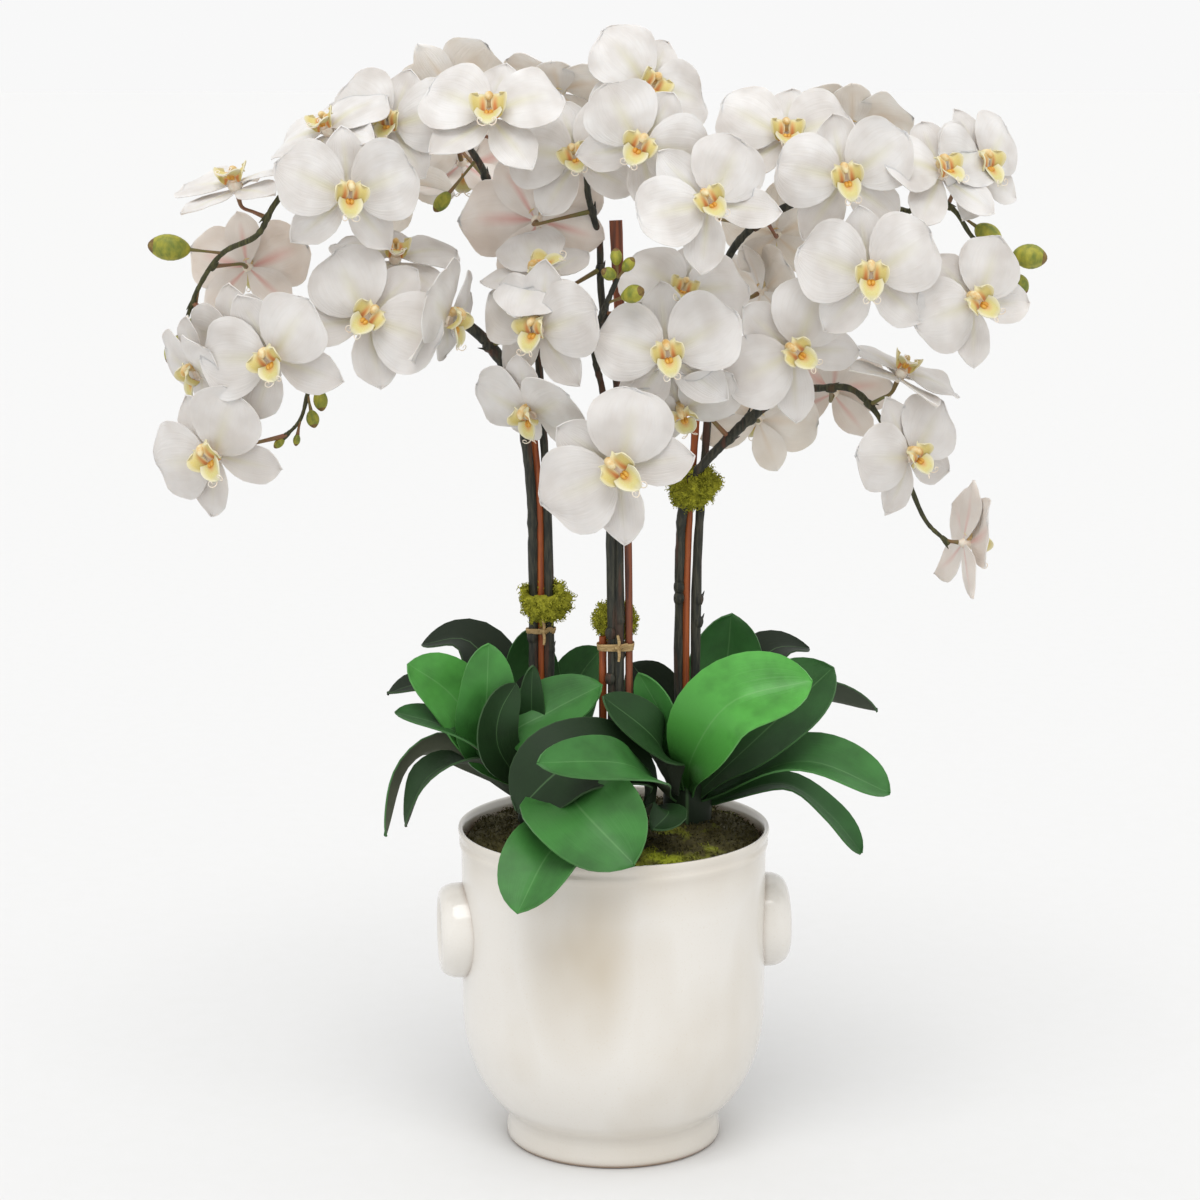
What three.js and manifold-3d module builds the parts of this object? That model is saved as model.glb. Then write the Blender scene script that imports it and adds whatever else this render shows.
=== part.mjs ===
// Potted moth orchid: three plants with six arching flower spikes, in a footed ceramic pot with
// two ring lugs. Millimetres, +Z up, front towards -Y, origin at the centre of the foot's underside.
import * as THREE from 'three';
import { mergeVertices } from 'three/addons/utils/BufferGeometryUtils.js';
import Module from 'manifold-3d';

const wasm = await Module();
wasm.setup();

// Pot
const RIM_HEIGHT = 227;
const RIM_RADIUS = 110;
const BODY_RADIUS = 107.5;
const WALL = 4;
const FOOT_RADIUS = 76;
const FOOT_HEIGHT = 20;
const FLOOR_HEIGHT = 30;
const ROUND_SIDES = 24;
const LUG_RADIUS = 33.5;
const LUG_HOLE = 13;
const LUG_ROOT = 99;
const LUG_REACH = 124;
const LUG_SIDES = 12;
const LUG_CENTRE = 154;
const LUG_TURN = THREE.MathUtils.degToRad(7);

// Filling
const GAP = 0.35;
const MIX_TOP = 203;
const MOSS_EDGE = 219;
const MOSS_TOP = 232;

// Rods of the three columns
const ROD_FOOT = 150;
const CROWN_RADIUS = 17;
const CROWN_TOP = 258;
const SLOT_TOP = 410;

// Blades
const PETAL_THICKNESS = 0.9;
const LEAF_THICKNESS = 1.1;
const PEDICEL_RADIUS = 1.4;
const BUD_STALK = 1.1;
const STRAIGHT_STALK = 24;

const finishes = {
  ceramic: { color: '#e9e4dc', roughness: 0.15, metalness: 0 },
  soil: { color: '#3b2f24', roughness: 0.95, metalness: 0 },
  moss: { color: '#4a471c', roughness: 0.95, metalness: 0 },
  tuft: { color: '#94951f', roughness: 0.95, metalness: 0 },
  leaf: { color: '#2e7a3a', roughness: 0.45, metalness: 0 },
  stem: { color: '#2b3324', roughness: 0.7, metalness: 0 },
  stake: { color: '#a5521f', roughness: 0.75, metalness: 0 },
  raffia: { color: '#b59a6a', roughness: 0.9, metalness: 0 },
  petal: { color: '#f2f0f0', roughness: 0.6, metalness: 0 },
};

const orchid = new THREE.Group();

// Joining and cutting

function solidOf(geometry) {
  const bare = new THREE.BufferGeometry();
  bare.setAttribute('position', geometry.getAttribute('position').clone());
  if (geometry.index) {
    bare.setIndex(geometry.index.clone());
  }
  const closed = mergeVertices(bare, 1e-4);
  return new wasm.Manifold(new wasm.Mesh({
    numProp: 3,
    vertProperties: new Float32Array(closed.getAttribute('position').array),
    triVerts: new Uint32Array(closed.index.array),
  }));
}

function geometryOf(solid) {
  const mesh = solid.getMesh();
  const geometry = new THREE.BufferGeometry();
  geometry.setAttribute('position', new THREE.BufferAttribute(mesh.vertProperties, 3));
  geometry.setIndex(new THREE.BufferAttribute(mesh.triVerts, 1));
  return geometry;
}

function fused(geometries) {
  return geometries.map(solidOf).reduce((whole, solid) => whole.add(solid));
}

function cut(solid, tools) {
  return tools.reduce((left, tool) => left.subtract(solidOf(tool)), solid);
}

function place(name, solid, finish) {
  const geometry = geometryOf(solid);
  const mesh = new THREE.Mesh(geometry, new THREE.MeshStandardMaterial(finishes[finish]));
  mesh.name = name;
  orchid.add(mesh);
}

// Shared shapes

const vector = (p) => new THREE.Vector3(p[0], p[1], p[2]);

// A thin closed blade: a face and a back split into the same triangles, joined by a rim.
function blade(points, normals, faces, rim, thickness) {
  const count = points.length;
  const position = [];
  for (const side of [0.5, -0.5]) {
    points.forEach((p, i) => {
      const q = p.clone().addScaledVector(normals[i], side * thickness);
      position.push(q.x, q.y, q.z);
    });
  }
  const index = [];
  for (const [a, b, c] of faces) {
    index.push(a, b, c, a + count, c + count, b + count);
  }
  rim.forEach((a, i) => {
    const b = rim[(i + 1) % rim.length];
    index.push(b, a, a + count, b, a + count, b + count);
  });
  const geometry = new THREE.BufferGeometry();
  geometry.setAttribute('position', new THREE.Float32BufferAttribute(position, 3));
  geometry.setIndex(index);
  return geometry;
}

// A rod along a route of [x, y, z, radius] points: one ring of corners at each point, flat ends
function rod(route, sides) {
  const curve = new THREE.CatmullRomCurve3(route.map(vector), false, 'centripetal');
  const spans = route.length - 1;
  const across = new THREE.Vector3(0, -1, 0);
  const position = [];
  route.forEach(([x, y, z, r], i) => {
    const along = curve.getTangent(i / spans);
    across.addScaledVector(along, -across.dot(along)).normalize();
    const other = new THREE.Vector3().crossVectors(along, across);
    for (let k = 0; k < sides; k += 1) {
      const turn = (2 * Math.PI * k) / sides;
      const p = new THREE.Vector3(x, y, z)
        .addScaledVector(across, r * Math.cos(turn))
        .addScaledVector(other, r * Math.sin(turn));
      position.push(p.x, p.y, p.z);
    }
  });
  const index = [];
  for (let i = 0; i < spans; i += 1) {
    for (let k = 0; k < sides; k += 1) {
      const a = i * sides + k;
      const b = i * sides + ((k + 1) % sides);
      index.push(a, b, b + sides, a, b + sides, a + sides);
    }
  }
  const last = spans * sides;
  for (let k = 1; k < sides - 1; k += 1) {
    index.push(0, k + 1, k, last, last + k, last + k + 1);
  }
  const geometry = new THREE.BufferGeometry();
  geometry.setAttribute('position', new THREE.Float32BufferAttribute(position, 3));
  geometry.setIndex(index);
  return geometry;
}

// A turned body: [radius, height] points from the axis, up the outside and back to the axis.
function turned(profile, sides) {
  const points = profile.map(([r, z]) => new THREE.Vector2(r, z));
  return new THREE.LatheGeometry(points, sides).rotateX(Math.PI / 2);
}

// Moves a shape from its own axes to a place, with its +Z along `faces` and its +Y near `up`.
function setAt(geometry, at, faces, up, size = 1) {
  const front = vector(faces).normalize();
  const right = new THREE.Vector3().crossVectors(vector(up), front).normalize();
  const top = new THREE.Vector3().crossVectors(front, right);
  const frame = new THREE.Matrix4().makeBasis(right, top, front);
  frame.scale(new THREE.Vector3(size, size, size));
  frame.setPosition(vector(at));
  return geometry.clone().applyMatrix4(frame);
}

// Pot

const inside = BODY_RADIUS - WALL;

function potOutside() {
  return turned([
    [0, 0], [FOOT_RADIUS - 3, 0], [FOOT_RADIUS, 3.5], [FOOT_RADIUS - 1, FOOT_HEIGHT],
    [84, 29], [95, 45], [103.5, 67], [BODY_RADIUS, 95],
    [BODY_RADIUS, 213], [RIM_RADIUS, RIM_HEIGHT - 5], [RIM_RADIUS, RIM_HEIGHT], [0, RIM_HEIGHT],
  ], ROUND_SIDES);
}

function potInside() {
  return turned([
    [0, FLOOR_HEIGHT], [70, FLOOR_HEIGHT], [92, 52], [inside, 88], [inside, 214],
    [RIM_RADIUS - 4, RIM_HEIGHT + 0.5], [0, RIM_HEIGHT + 0.5],
  ], ROUND_SIDES);
}

// A thick ring standing against the side wall with a shallow round recess in its outer face
function lug(side) {
  const ring = turned([
    [0, LUG_ROOT], [LUG_RADIUS, LUG_ROOT], [LUG_RADIUS, LUG_REACH - 5], [LUG_RADIUS - 5, LUG_REACH],
    [LUG_HOLE + 4, LUG_REACH], [LUG_HOLE, LUG_REACH - 4], [0, LUG_REACH - 4],
  ], LUG_SIDES);
  const outward = [side * Math.cos(LUG_TURN), side * Math.sin(LUG_TURN), 0];
  return setAt(ring, [0, 0, LUG_CENTRE], outward, [0, 0, 1]);
}

place('pot', cut(fused([potOutside(), lug(-1), lug(1)]), [potInside()]), 'ceramic');

// Rods: two flower spikes beside a stake in each column

const stakes = {
  stake_left: [
    [-50.9, 8, ROD_FOOT, 2.5], [-50.9, 8, 410, 2.5], [-52, 8.8, 460, 2.6], [-57.5, 11.5, 522, 2.7],
    [-72.5, 15, 674, 3.6],
  ],
  stake_centre: [
    [9.9, -22, ROD_FOOT, 2.7], [9.9, -22, 421, 2.7], [6, -23, 531, 3], [1, -18, 652, 4.6],
  ],
  stake_centre_short: [[-7.6, -16.4, ROD_FOOT, 2.7], [-7.6, -16.4, 366, 2.7]],
  stake_right: [
    [51.5, 8, ROD_FOOT, 2.5], [51.5, 8, 422, 2.5], [56.5, 10.5, 510, 2.7], [63, 18, 628, 4.2],
  ],
};

const spikes = {
  spike_left_upper: {
    route: [
      [-45, 8, ROD_FOOT, 3], [-45, 8, 430, 2.8], [-49, 13, 506, 2.7], [-57, 22, 595, 2.6],
      [-72, 23, 642, 2.5], [-84, 13, 672, 2.5], [-93, 2, 692, 2.4], [-117, -14, 720, 2.4],
      [-137, -16, 704, 2.3], [-161, -14, 684, 2.2], [-191, -20, 675, 2.1], [-215, -30, 675, 2.1],
      [-227, -32, 663, 2], [-239, -28, 643, 2], [-264, -18, 630, 1.8], [-282, -10, 606, 1.6],
      [-294, -5, 577, 1.2],
    ],
    buds: [
      { at: [-300, -20, 634], from: [-264, -18, 630], long: 27, wide: 18 },
      { at: [-300, -5, 563], from: [-294, -5, 577], long: 20, wide: 14 },
      { at: [-287, -3, 580], from: [-282, -10, 606], long: 12, wide: 8 },
      { at: [-117, 4, 663], from: [-93, 2, 692], long: 16, wide: 10 },
    ],
  },
  spike_left_lower: {
    route: [
      [-56.9, 8, ROD_FOOT, 3], [-56.9, 8, 410, 3], [-57.6, 7.6, 455, 3.1], [-61, 4.5, 500, 3.5],
      [-69, -4, 540, 3.8], [-85, -8, 567, 4], [-103, -10, 583, 3.8], [-125, -8, 594, 3],
      [-140, -4, 598, 2.4], [-167, 2, 596, 2.2], [-190, -8, 584, 2.1], [-203, -18, 561, 2],
      [-208, -24, 535, 1.6], [-213, -28, 518, 1.3], [-222, -32, 508, 1.2],
    ],
    buds: [
      { at: [-199, -26, 531], from: [-203, -18, 561], long: 14, wide: 10 },
      { at: [-204, -31, 519], from: [-208, -24, 535], long: 12, wide: 9 },
      { at: [-215, -33, 505], from: [-213, -28, 518], long: 8, wide: 5 },
      { at: [-227, -33, 503], from: [-222, -32, 508], long: 9, wide: 6 },
    ],
  },
  spike_centre_front: {
    route: [
      [-2.2, -22.4, ROD_FOOT, 3], [-2.2, -22.4, 420, 2.8], [-6, -28, 504, 2.5],
      [-8, -34, 539, 2.3], [-13, -42, 562, 2.2], [-11, -58, 584, 2.1], [-5, -70, 601, 2],
      [2, -76, 618, 1.6],
    ],
    buds: [
      { at: [12, -82, 608], from: [-5, -70, 601], long: 17, wide: 12 },
      { at: [-4, -80, 621], from: [2, -76, 618], long: 11, wide: 9 },
      { at: [9, -79, 627], from: [2, -76, 618], long: 11, wide: 8 },
      { at: [1, -78, 632], from: [2, -76, 618], long: 11, wide: 8 },
    ],
  },
  spike_centre_upper: {
    route: [
      [3.9, -22, ROD_FOOT, 3], [3.9, -22, 410, 2.9], [2, -14.5, 503, 2.8],
      [2, -11, 541, 2.8], [-4, -5, 567, 2.7], [-9, 0, 604, 2.5], [-10, -4, 638, 2.4], [-14, -10, 654, 2.3],
      [-18, -16, 672, 2.2], [-17, -16, 698, 2.1], [-9, -4, 721, 2], [7, 6, 735, 1.8],
    ],
    buds: [],
  },
  spike_right_upper: {
    route: [
      [59, 8, ROD_FOOT, 3], [59, 8, 415, 2.9], [62.8, 9, 485, 2.8], [68, 14, 554, 2.8],
      [74, 11, 613, 2.7], [83, 4, 634, 2.7], [99, 0, 650, 2.6], [123, -2, 663, 2.5],
      [146, -2, 671, 2.3], [173, -8, 665, 2.2], [196, -14, 657, 2], [215, -18, 668, 1.9],
      [229, -20, 658, 1.7], [243, -20, 639, 1.5], [263, -20, 630, 1.2],
    ],
    buds: [
      { at: [252, -19, 642], from: [229, -20, 658], long: 20, wide: 15 },
      { at: [280, -22, 628], from: [263, -20, 630], long: 22, wide: 17 },
      { at: [275, -17, 609], from: [263, -20, 630], long: 14, wide: 11 },
    ],
  },
  spike_right_lower: {
    route: [
      [45.5, 8, ROD_FOOT, 3], [45.5, 8, 422, 3], [47, 4, 450, 3], [53, -1, 472, 3.2], [63, -4, 486, 3.2],
      [79, -7, 503, 3.4], [97, -8, 520, 3.4], [120, -6, 535, 2.8], [141, -4, 537, 2.5],
      [161, -6, 537, 2.3], [175, -8, 526, 2.1], [192, -12, 499, 1.9], [214, -16, 447, 1.5],
      [228, -16, 433, 1.3],
    ],
    buds: [],
  },
};

const STAKE_SIDES = 6;
const STEM_SIDES = 5;

// The straight slot that holds the rods of each column below the leaves' tips
const columns = {
  left: { middle: [-50.95, 8], long: 18.6, deep: 6.7 },
  centre: { middle: [1.15, -19.55], long: 23.6, deep: 12.4 },
  right: { middle: [52.25, 8], long: 20.2, deep: 6.7 },
  rightAbove: { middle: [54.8, 2.5], long: 22.6, deep: 21 },
};
const SLOT_CORNER = 1.7;

function columnSlot({ middle, long, deep }, low, high, extra = 0) {
  const x = long / 2 + extra;
  const y = deep / 2 + extra;
  const c = SLOT_CORNER;
  const outline = [
    [x, y - c], [x - c, y], [c - x, y], [-x, y - c], [-x, c - y], [c - x, -y], [x - c, -y], [x, c - y],
  ];
  const shape = new THREE.Shape(outline.map(([a, b]) => new THREE.Vector2(a, b)));
  return new THREE.ExtrudeGeometry(shape, { depth: high - low, bevelEnabled: false })
    .translate(middle[0], middle[1], low);
}

const slots = [
  columnSlot(columns.left, ROD_FOOT - GAP, SLOT_TOP),
  columnSlot(columns.centre, ROD_FOOT - GAP, SLOT_TOP),
  columnSlot(columns.right, ROD_FOOT - GAP, SLOT_TOP),
  columnSlot(columns.rightAbove, SLOT_TOP, SLOT_TOP + 80),
];

for (const [name, route] of Object.entries(stakes)) {
  place(name, solidOf(rod(route, STAKE_SIDES)), 'stake');
}

// Blooms of each spike: where the petals meet, where the flower looks, where its back sepal points, its size

const blooms = {
  spike_left_upper: {
    bloom_left_01: { at: [-81, -62, 722], faces: [-0.08, -0.75, 0.6], up: [0.05, 0, 1], size: 1.04 },
    bloom_left_02: { at: [-175, -70, 671], faces: [0.3, -1, 0.05], up: [0.05, 0, 1], size: 0.98 },
    bloom_left_03: { at: [-190, -30, 711], faces: [-0.45, -0.4, 0.8], up: [0.1, 1, 0.2], size: 0.92 },
    bloom_left_04: { at: [-254, -20, 674], faces: [-0.25, -0.2, 0.94], up: [0.15, 1, 0.2], size: 0.92 },
    bloom_left_05: { at: [-148, -23, 714], faces: [-0.3, -0.85, 0.35], up: [0.1, 0, 1], size: 0.95 },
    bloom_left_06: { at: [-111, 36, 735], faces: [0.1, 1, 0.2], up: [-0.5, 0, 0.87], size: 0.85 },
    bloom_left_07: { at: [-146, 38, 679], faces: [0.3, 1, 0], up: [-0.5, 0, 0.85], size: 0.9 },
    bloom_left_08: { at: [-105, 46, 686], faces: [0.1, 0.7, -0.7], up: [0, 0.7, 0.7], size: 0.88 },
    bloom_left_13: { at: [-252, 22, 617], faces: [0.15, 1, -0.25], up: [-0.1, 0, 1], size: 0.86 },
    bloom_left_14: { at: [-278, -42, 552], faces: [-0.75, -0.45, -0.4], up: [0, 0, 1], size: 0.86 },
    bloom_left_16: { at: [-251, -52, 572], faces: [-0.55, -0.8, -0.1], up: [-0.2, 0, 1], size: 0.85 },
  },
  spike_left_lower: {
    bloom_left_09: { at: [-148, -16, 625], faces: [0.1, -0.45, 0.88], up: [0, 0.9, 0.4], size: 0.95 },
    bloom_left_10: { at: [-163, -62, 590], faces: [0.05, -1, 0.2], up: [0.64, 0, 0.77], size: 1.02 },
    bloom_left_11: { at: [-113, -50, 588], faces: [0.9, -0.35, -0.2], up: [0.1, 0, 1], size: 0.95 },
    bloom_left_12: { at: [-224, -84, 566], faces: [-0.3, -1, -0.1], up: [-0.45, 0, 0.9], size: 1 },
    bloom_left_15: { at: [-266, -66, 499], faces: [-0.4, -0.9, -0.1], up: [-0.64, 0, 0.77], size: 1 },
    bloom_centre_07: { at: [-49, -64, 583], faces: [-0.55, -0.83, 0], up: [0.1, 0, 1], size: 0.98 },
    bloom_centre_09: { at: [-54, -52, 527], faces: [-0.5, -0.6, -0.5], up: [0, 0, 1], size: 0.92 },
  },
  spike_centre_upper: {
    bloom_centre_01: { at: [22, 0, 738], faces: [0.45, -0.8, 0.35], up: [0.5, 0, 0.87], size: 0.98 },
    bloom_centre_02: { at: [-25, -32, 693], faces: [-0.15, -0.95, 0.3], up: [-0.25, 0, 0.97], size: 0.95 },
    bloom_centre_03: { at: [17, -60, 702], faces: [-0.1, -1, 0.1], up: [0.55, 0, 0.83], size: 0.95 },
    bloom_centre_05: { at: [-52, -2, 651], faces: [0.1, 1, 0.1], up: [-0.45, 0, 0.9], size: 1.05 },
    bloom_centre_06: { at: [-47, -42, 617], faces: [-0.1, -0.55, 0.8], up: [-1, 0, 0.15], size: 0.9 },
    bloom_centre_08: { at: [-37, 34, 736], faces: [0.3, 0.6, 0.7], up: [0, -0.5, 0.9], size: 0.88 },
    bloom_centre_12: { at: [45, -50, 604], faces: [0.1, -0.8, 0.6], up: [0.25, 0.3, 0.9], size: 0.93 },
  },
  spike_centre_front: {
    bloom_centre_10: { at: [3, -98, 495], faces: [0, -1, 0], up: [-0.78, 0, 0.62], size: 1.1 },
    bloom_centre_11: { at: [35, -72, 567], faces: [0, -1, 0.1], up: [-0.17, 0, 0.98], size: 1.03 },
  },
  spike_right_upper: {
    bloom_centre_04: { at: [61, -84, 666], faces: [0.05, -0.95, 0.3], up: [-0.64, 0, 0.77], size: 1 },
    bloom_right_01: { at: [114, -16, 706], faces: [0.1, -0.8, 0.55], up: [0.1, 0, 1], size: 0.98 },
    bloom_right_02: { at: [152, -52, 681], faces: [0.05, -1, 0.1], up: [-0.18, 0, 1], size: 0.98 },
    bloom_right_03: { at: [165, 50, 713], faces: [0.2, 0.7, 0.7], up: [0, -0.6, 0.8], size: 0.9 },
    bloom_right_04: { at: [218, -31, 683], faces: [0.35, -0.7, 0.55], up: [-0.2, 0.3, 0.9], size: 0.95 },
    bloom_right_05: { at: [247, -4, 687], faces: [0.6, -0.7, 0.25], up: [-0.3, 0, 0.95], size: 0.9 },
    bloom_right_06: { at: [168, -68, 618], faces: [0, -1, 0.1], up: [-0.1, 0, 1], size: 1 },
    bloom_right_07: { at: [239, -52, 600], faces: [0.35, -0.9, 0.1], up: [-0.7, 0, 0.7], size: 0.93 },
    bloom_right_12: { at: [112, 26, 639], faces: [0.1, 1, 0], up: [0, 0, 1], size: 0.76 },
    bloom_right_14: { at: [103, 24, 601], faces: [0.75, 0.5, 0.3], up: [-0.2, 0, 1], size: 0.8 },
  },
  spike_right_lower: {
    bloom_centre_13: { at: [45, -52, 529], faces: [0.1, -0.7, -0.6], up: [-0.3, 0, 0.95], size: 0.86 },
    bloom_right_08: { at: [194, -22, 548], faces: [0.4, -0.15, 0.9], up: [0.2, 1, 0.2], size: 0.92 },
    bloom_right_09: { at: [199, -42, 495], faces: [0.55, -0.7, 0.05], up: [-0.5, 0, 0.85], size: 0.92 },
    bloom_right_10: { at: [242, -14, 431], faces: [0.93, 0.25, -0.15], up: [0.15, 0, 0.98], size: 0.93 },
    bloom_right_11: { at: [153, 30, 530], faces: [0.2, 0.9, 0.3], up: [0.2, 0, 1], size: 0.86 },
    bloom_right_13: { at: [120, -50, 567], faces: [0.2, -0.95, 0], up: [-0.75, 0, 0.66], size: 1.02 },
    bloom_right_15: { at: [100, 24, 511], faces: [0, 1, -0.1], up: [0.42, 0, 0.9], size: 0.85 },
  },
};

// Where a petal starts inside the hub, one half of its outline as [along, across], and its tip
const PETAL_ROOT = 3;
const PETAL_HALF = [[15, 20], [28, 26], [41, 18]];
const PETAL_TIP = 48;
const SEPAL_ROOT = 2;
const SEPAL_HALF = [[24, 13.5]];
const SEPAL_TIP = 46;
const PETAL_ANGLES = [24, 156];
const SEPAL_ANGLES = [90, -44, -136];
const PETAL_LIFT = 3.4;
const SEPAL_LIFT = -1.8;
const PETAL_WAVE = 0.6;
const HUB_BACK = 6;
const HUB_RADIUS = 4.8;

// One petal or sepal, lying out from the flower's middle at an angle, with a softly waved edge
function petalBlade(root, half, tip, angle, lift) {
  const turn = THREE.MathUtils.degToRad(angle);
  const outline = [[root, 0], ...half.map(([a, b]) => [a, -b]), [tip, 0], ...half.slice().reverse()];
  const points = outline.map(([a, b]) => new THREE.Vector3(
    a * Math.cos(turn) - b * Math.sin(turn),
    a * Math.sin(turn) + b * Math.cos(turn),
    lift - (b / 26) ** 2 - 1.5 * (a / 48) ** 2 + PETAL_WAVE * Math.sin(0.21 * a + 0.5) * (b / 20),
  ));
  const tipAt = half.length + 1;
  const faces = [[0, 1, 2 * tipAt - 1]];
  for (let i = 1; i < tipAt - 1; i += 1) {
    faces.push([i, i + 1, 2 * tipAt - i - 1], [i, 2 * tipAt - i - 1, 2 * tipAt - i]);
  }
  faces.push([tipAt - 1, tipAt, tipAt + 1]);
  const front = new THREE.Vector3(0, 0, 1);
  return blade(points, points.map(() => front), faces, points.map((p, i) => i), PETAL_THICKNESS);
}

// The lip, rooted in the hub's front: two side lobes and a tongue, as one folded blade
const LIP_HALF = [[-1.5, -0.5, 6.5], [-9.5, 1, 15], [-4.5, -7, 12.5]];
const LIP_TIP = [0, -17, 14];
const LIP_THICKNESS = 1;

function lip() {
  const right = LIP_HALF.map(([x, y, z]) => [-x, y, z]).reverse();
  const points = [...LIP_HALF, LIP_TIP, ...right].map(vector);
  const faces = [[0, 1, 2], [0, 2, 4], [0, 4, 6], [2, 3, 4], [4, 5, 6]];
  const claw = new THREE.Vector3(0, 0.8, 0.6);
  const open = new THREE.Vector3(0, 0.4, 0.9);
  const normals = [claw, open, open, open, open, open, claw];
  return blade(points, normals, faces, points.map((p, i) => i), LIP_THICKNESS);
}

function flower() {
  const hub = turned([[0, -HUB_BACK], [HUB_RADIUS, -HUB_BACK], [HUB_RADIUS, 8], [0, 8]], 5);
  return geometryOf(fused([
    hub,
    ...SEPAL_ANGLES.map((angle) => petalBlade(SEPAL_ROOT, SEPAL_HALF, SEPAL_TIP, angle, SEPAL_LIFT)),
    ...PETAL_ANGLES.map((angle) => petalBlade(PETAL_ROOT, PETAL_HALF, PETAL_TIP, angle, PETAL_LIFT)),
    lip(),
  ]));
}

const openFlower = flower();

// Blooms that press through each other are one body
const pressedTogether = [
  ['bloom_left_03', 'bloom_left_05'],
  ['bloom_left_07', 'bloom_left_08'],
  ['bloom_left_10', 'bloom_left_11'],
  ['bloom_left_12', 'bloom_left_14'],
  ['bloom_centre_06', 'bloom_centre_07'],
  ['bloom_centre_11', 'bloom_centre_13'],
  ['bloom_right_02', 'bloom_right_04', 'bloom_right_05'],
  ['bloom_right_12', 'bloom_right_14'],
];

const heads = Object.fromEntries(Object.values(blooms).flatMap(Object.entries).map(
  ([name, { at, faces, up, size }]) => [name, setAt(openFlower, at, faces, up, size)],
));

for (const [name, head] of Object.entries(heads)) {
  const group = pressedTogether.find((names) => names.includes(name));
  if (!group) {
    place(name, solidOf(head), 'petal');
  } else if (group[0] === name) {
    place(name, fused(group.map((member) => heads[member])), 'petal');
  }
}

// Flower spikes: main stem, stalks of the blooms, buds

// The point of a route nearest to a place
function rootOn(route, place) {
  const options = route.slice(1).map((end, i) => {
    const line = new THREE.Line3(vector(route[i]), vector(end));
    return line.closestPointToPoint(place, true, new THREE.Vector3());
  });
  return options.reduce((best, p) => (p.distanceTo(place) < best.distanceTo(place) ? p : best));
}

// The stalk leaves the stem at its closest point and meets the back of the flower's hub square on
function pedicel(route, { at, faces, size }) {
  const front = vector(faces).normalize();
  const hub = vector(at).addScaledVector(front, -(HUB_BACK * size + GAP));
  const root = rootOn(route, hub);
  const reach = root.distanceTo(hub);
  const bend = hub.clone().addScaledVector(front, -0.3 * reach);
  const way = reach > STRAIGHT_STALK ? [root, bend, hub] : [root, hub.addScaledVector(front, -0.8)];
  return way.map((p) => [p.x, p.y, p.z, PEDICEL_RADIUS]);
}

// A pointed bud on its own short stalk
function bud({ at, from, long, wide }) {
  const away = vector(at).sub(vector(from));
  const root = -away.length() - BUD_STALK;
  const body = turned([
    [0, root], [BUD_STALK, root], [BUD_STALK, -0.55 * long], [0.5 * wide, 0], [0, 0.5 * long],
  ], 5);
  const side = Math.abs(away.z) > 0.8 * away.length() ? [0, 1, 0] : [0, 0, 1];
  return setAt(body, at, away.toArray(), side);
}

function spike(name, { route, buds }) {
  const stalks = Object.values(blooms[name]).map((bloom) => rod(pedicel(route, bloom), 3));
  return fused([rod(route, STEM_SIDES), ...stalks, ...buds.map(bud)]);
}

for (const [name, parts] of Object.entries(spikes)) {
  place(name, spike(name, parts), 'stem');
}

// Leaves: base, middle and tip of the midrib, full width, and the way that the upper face looks

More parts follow.
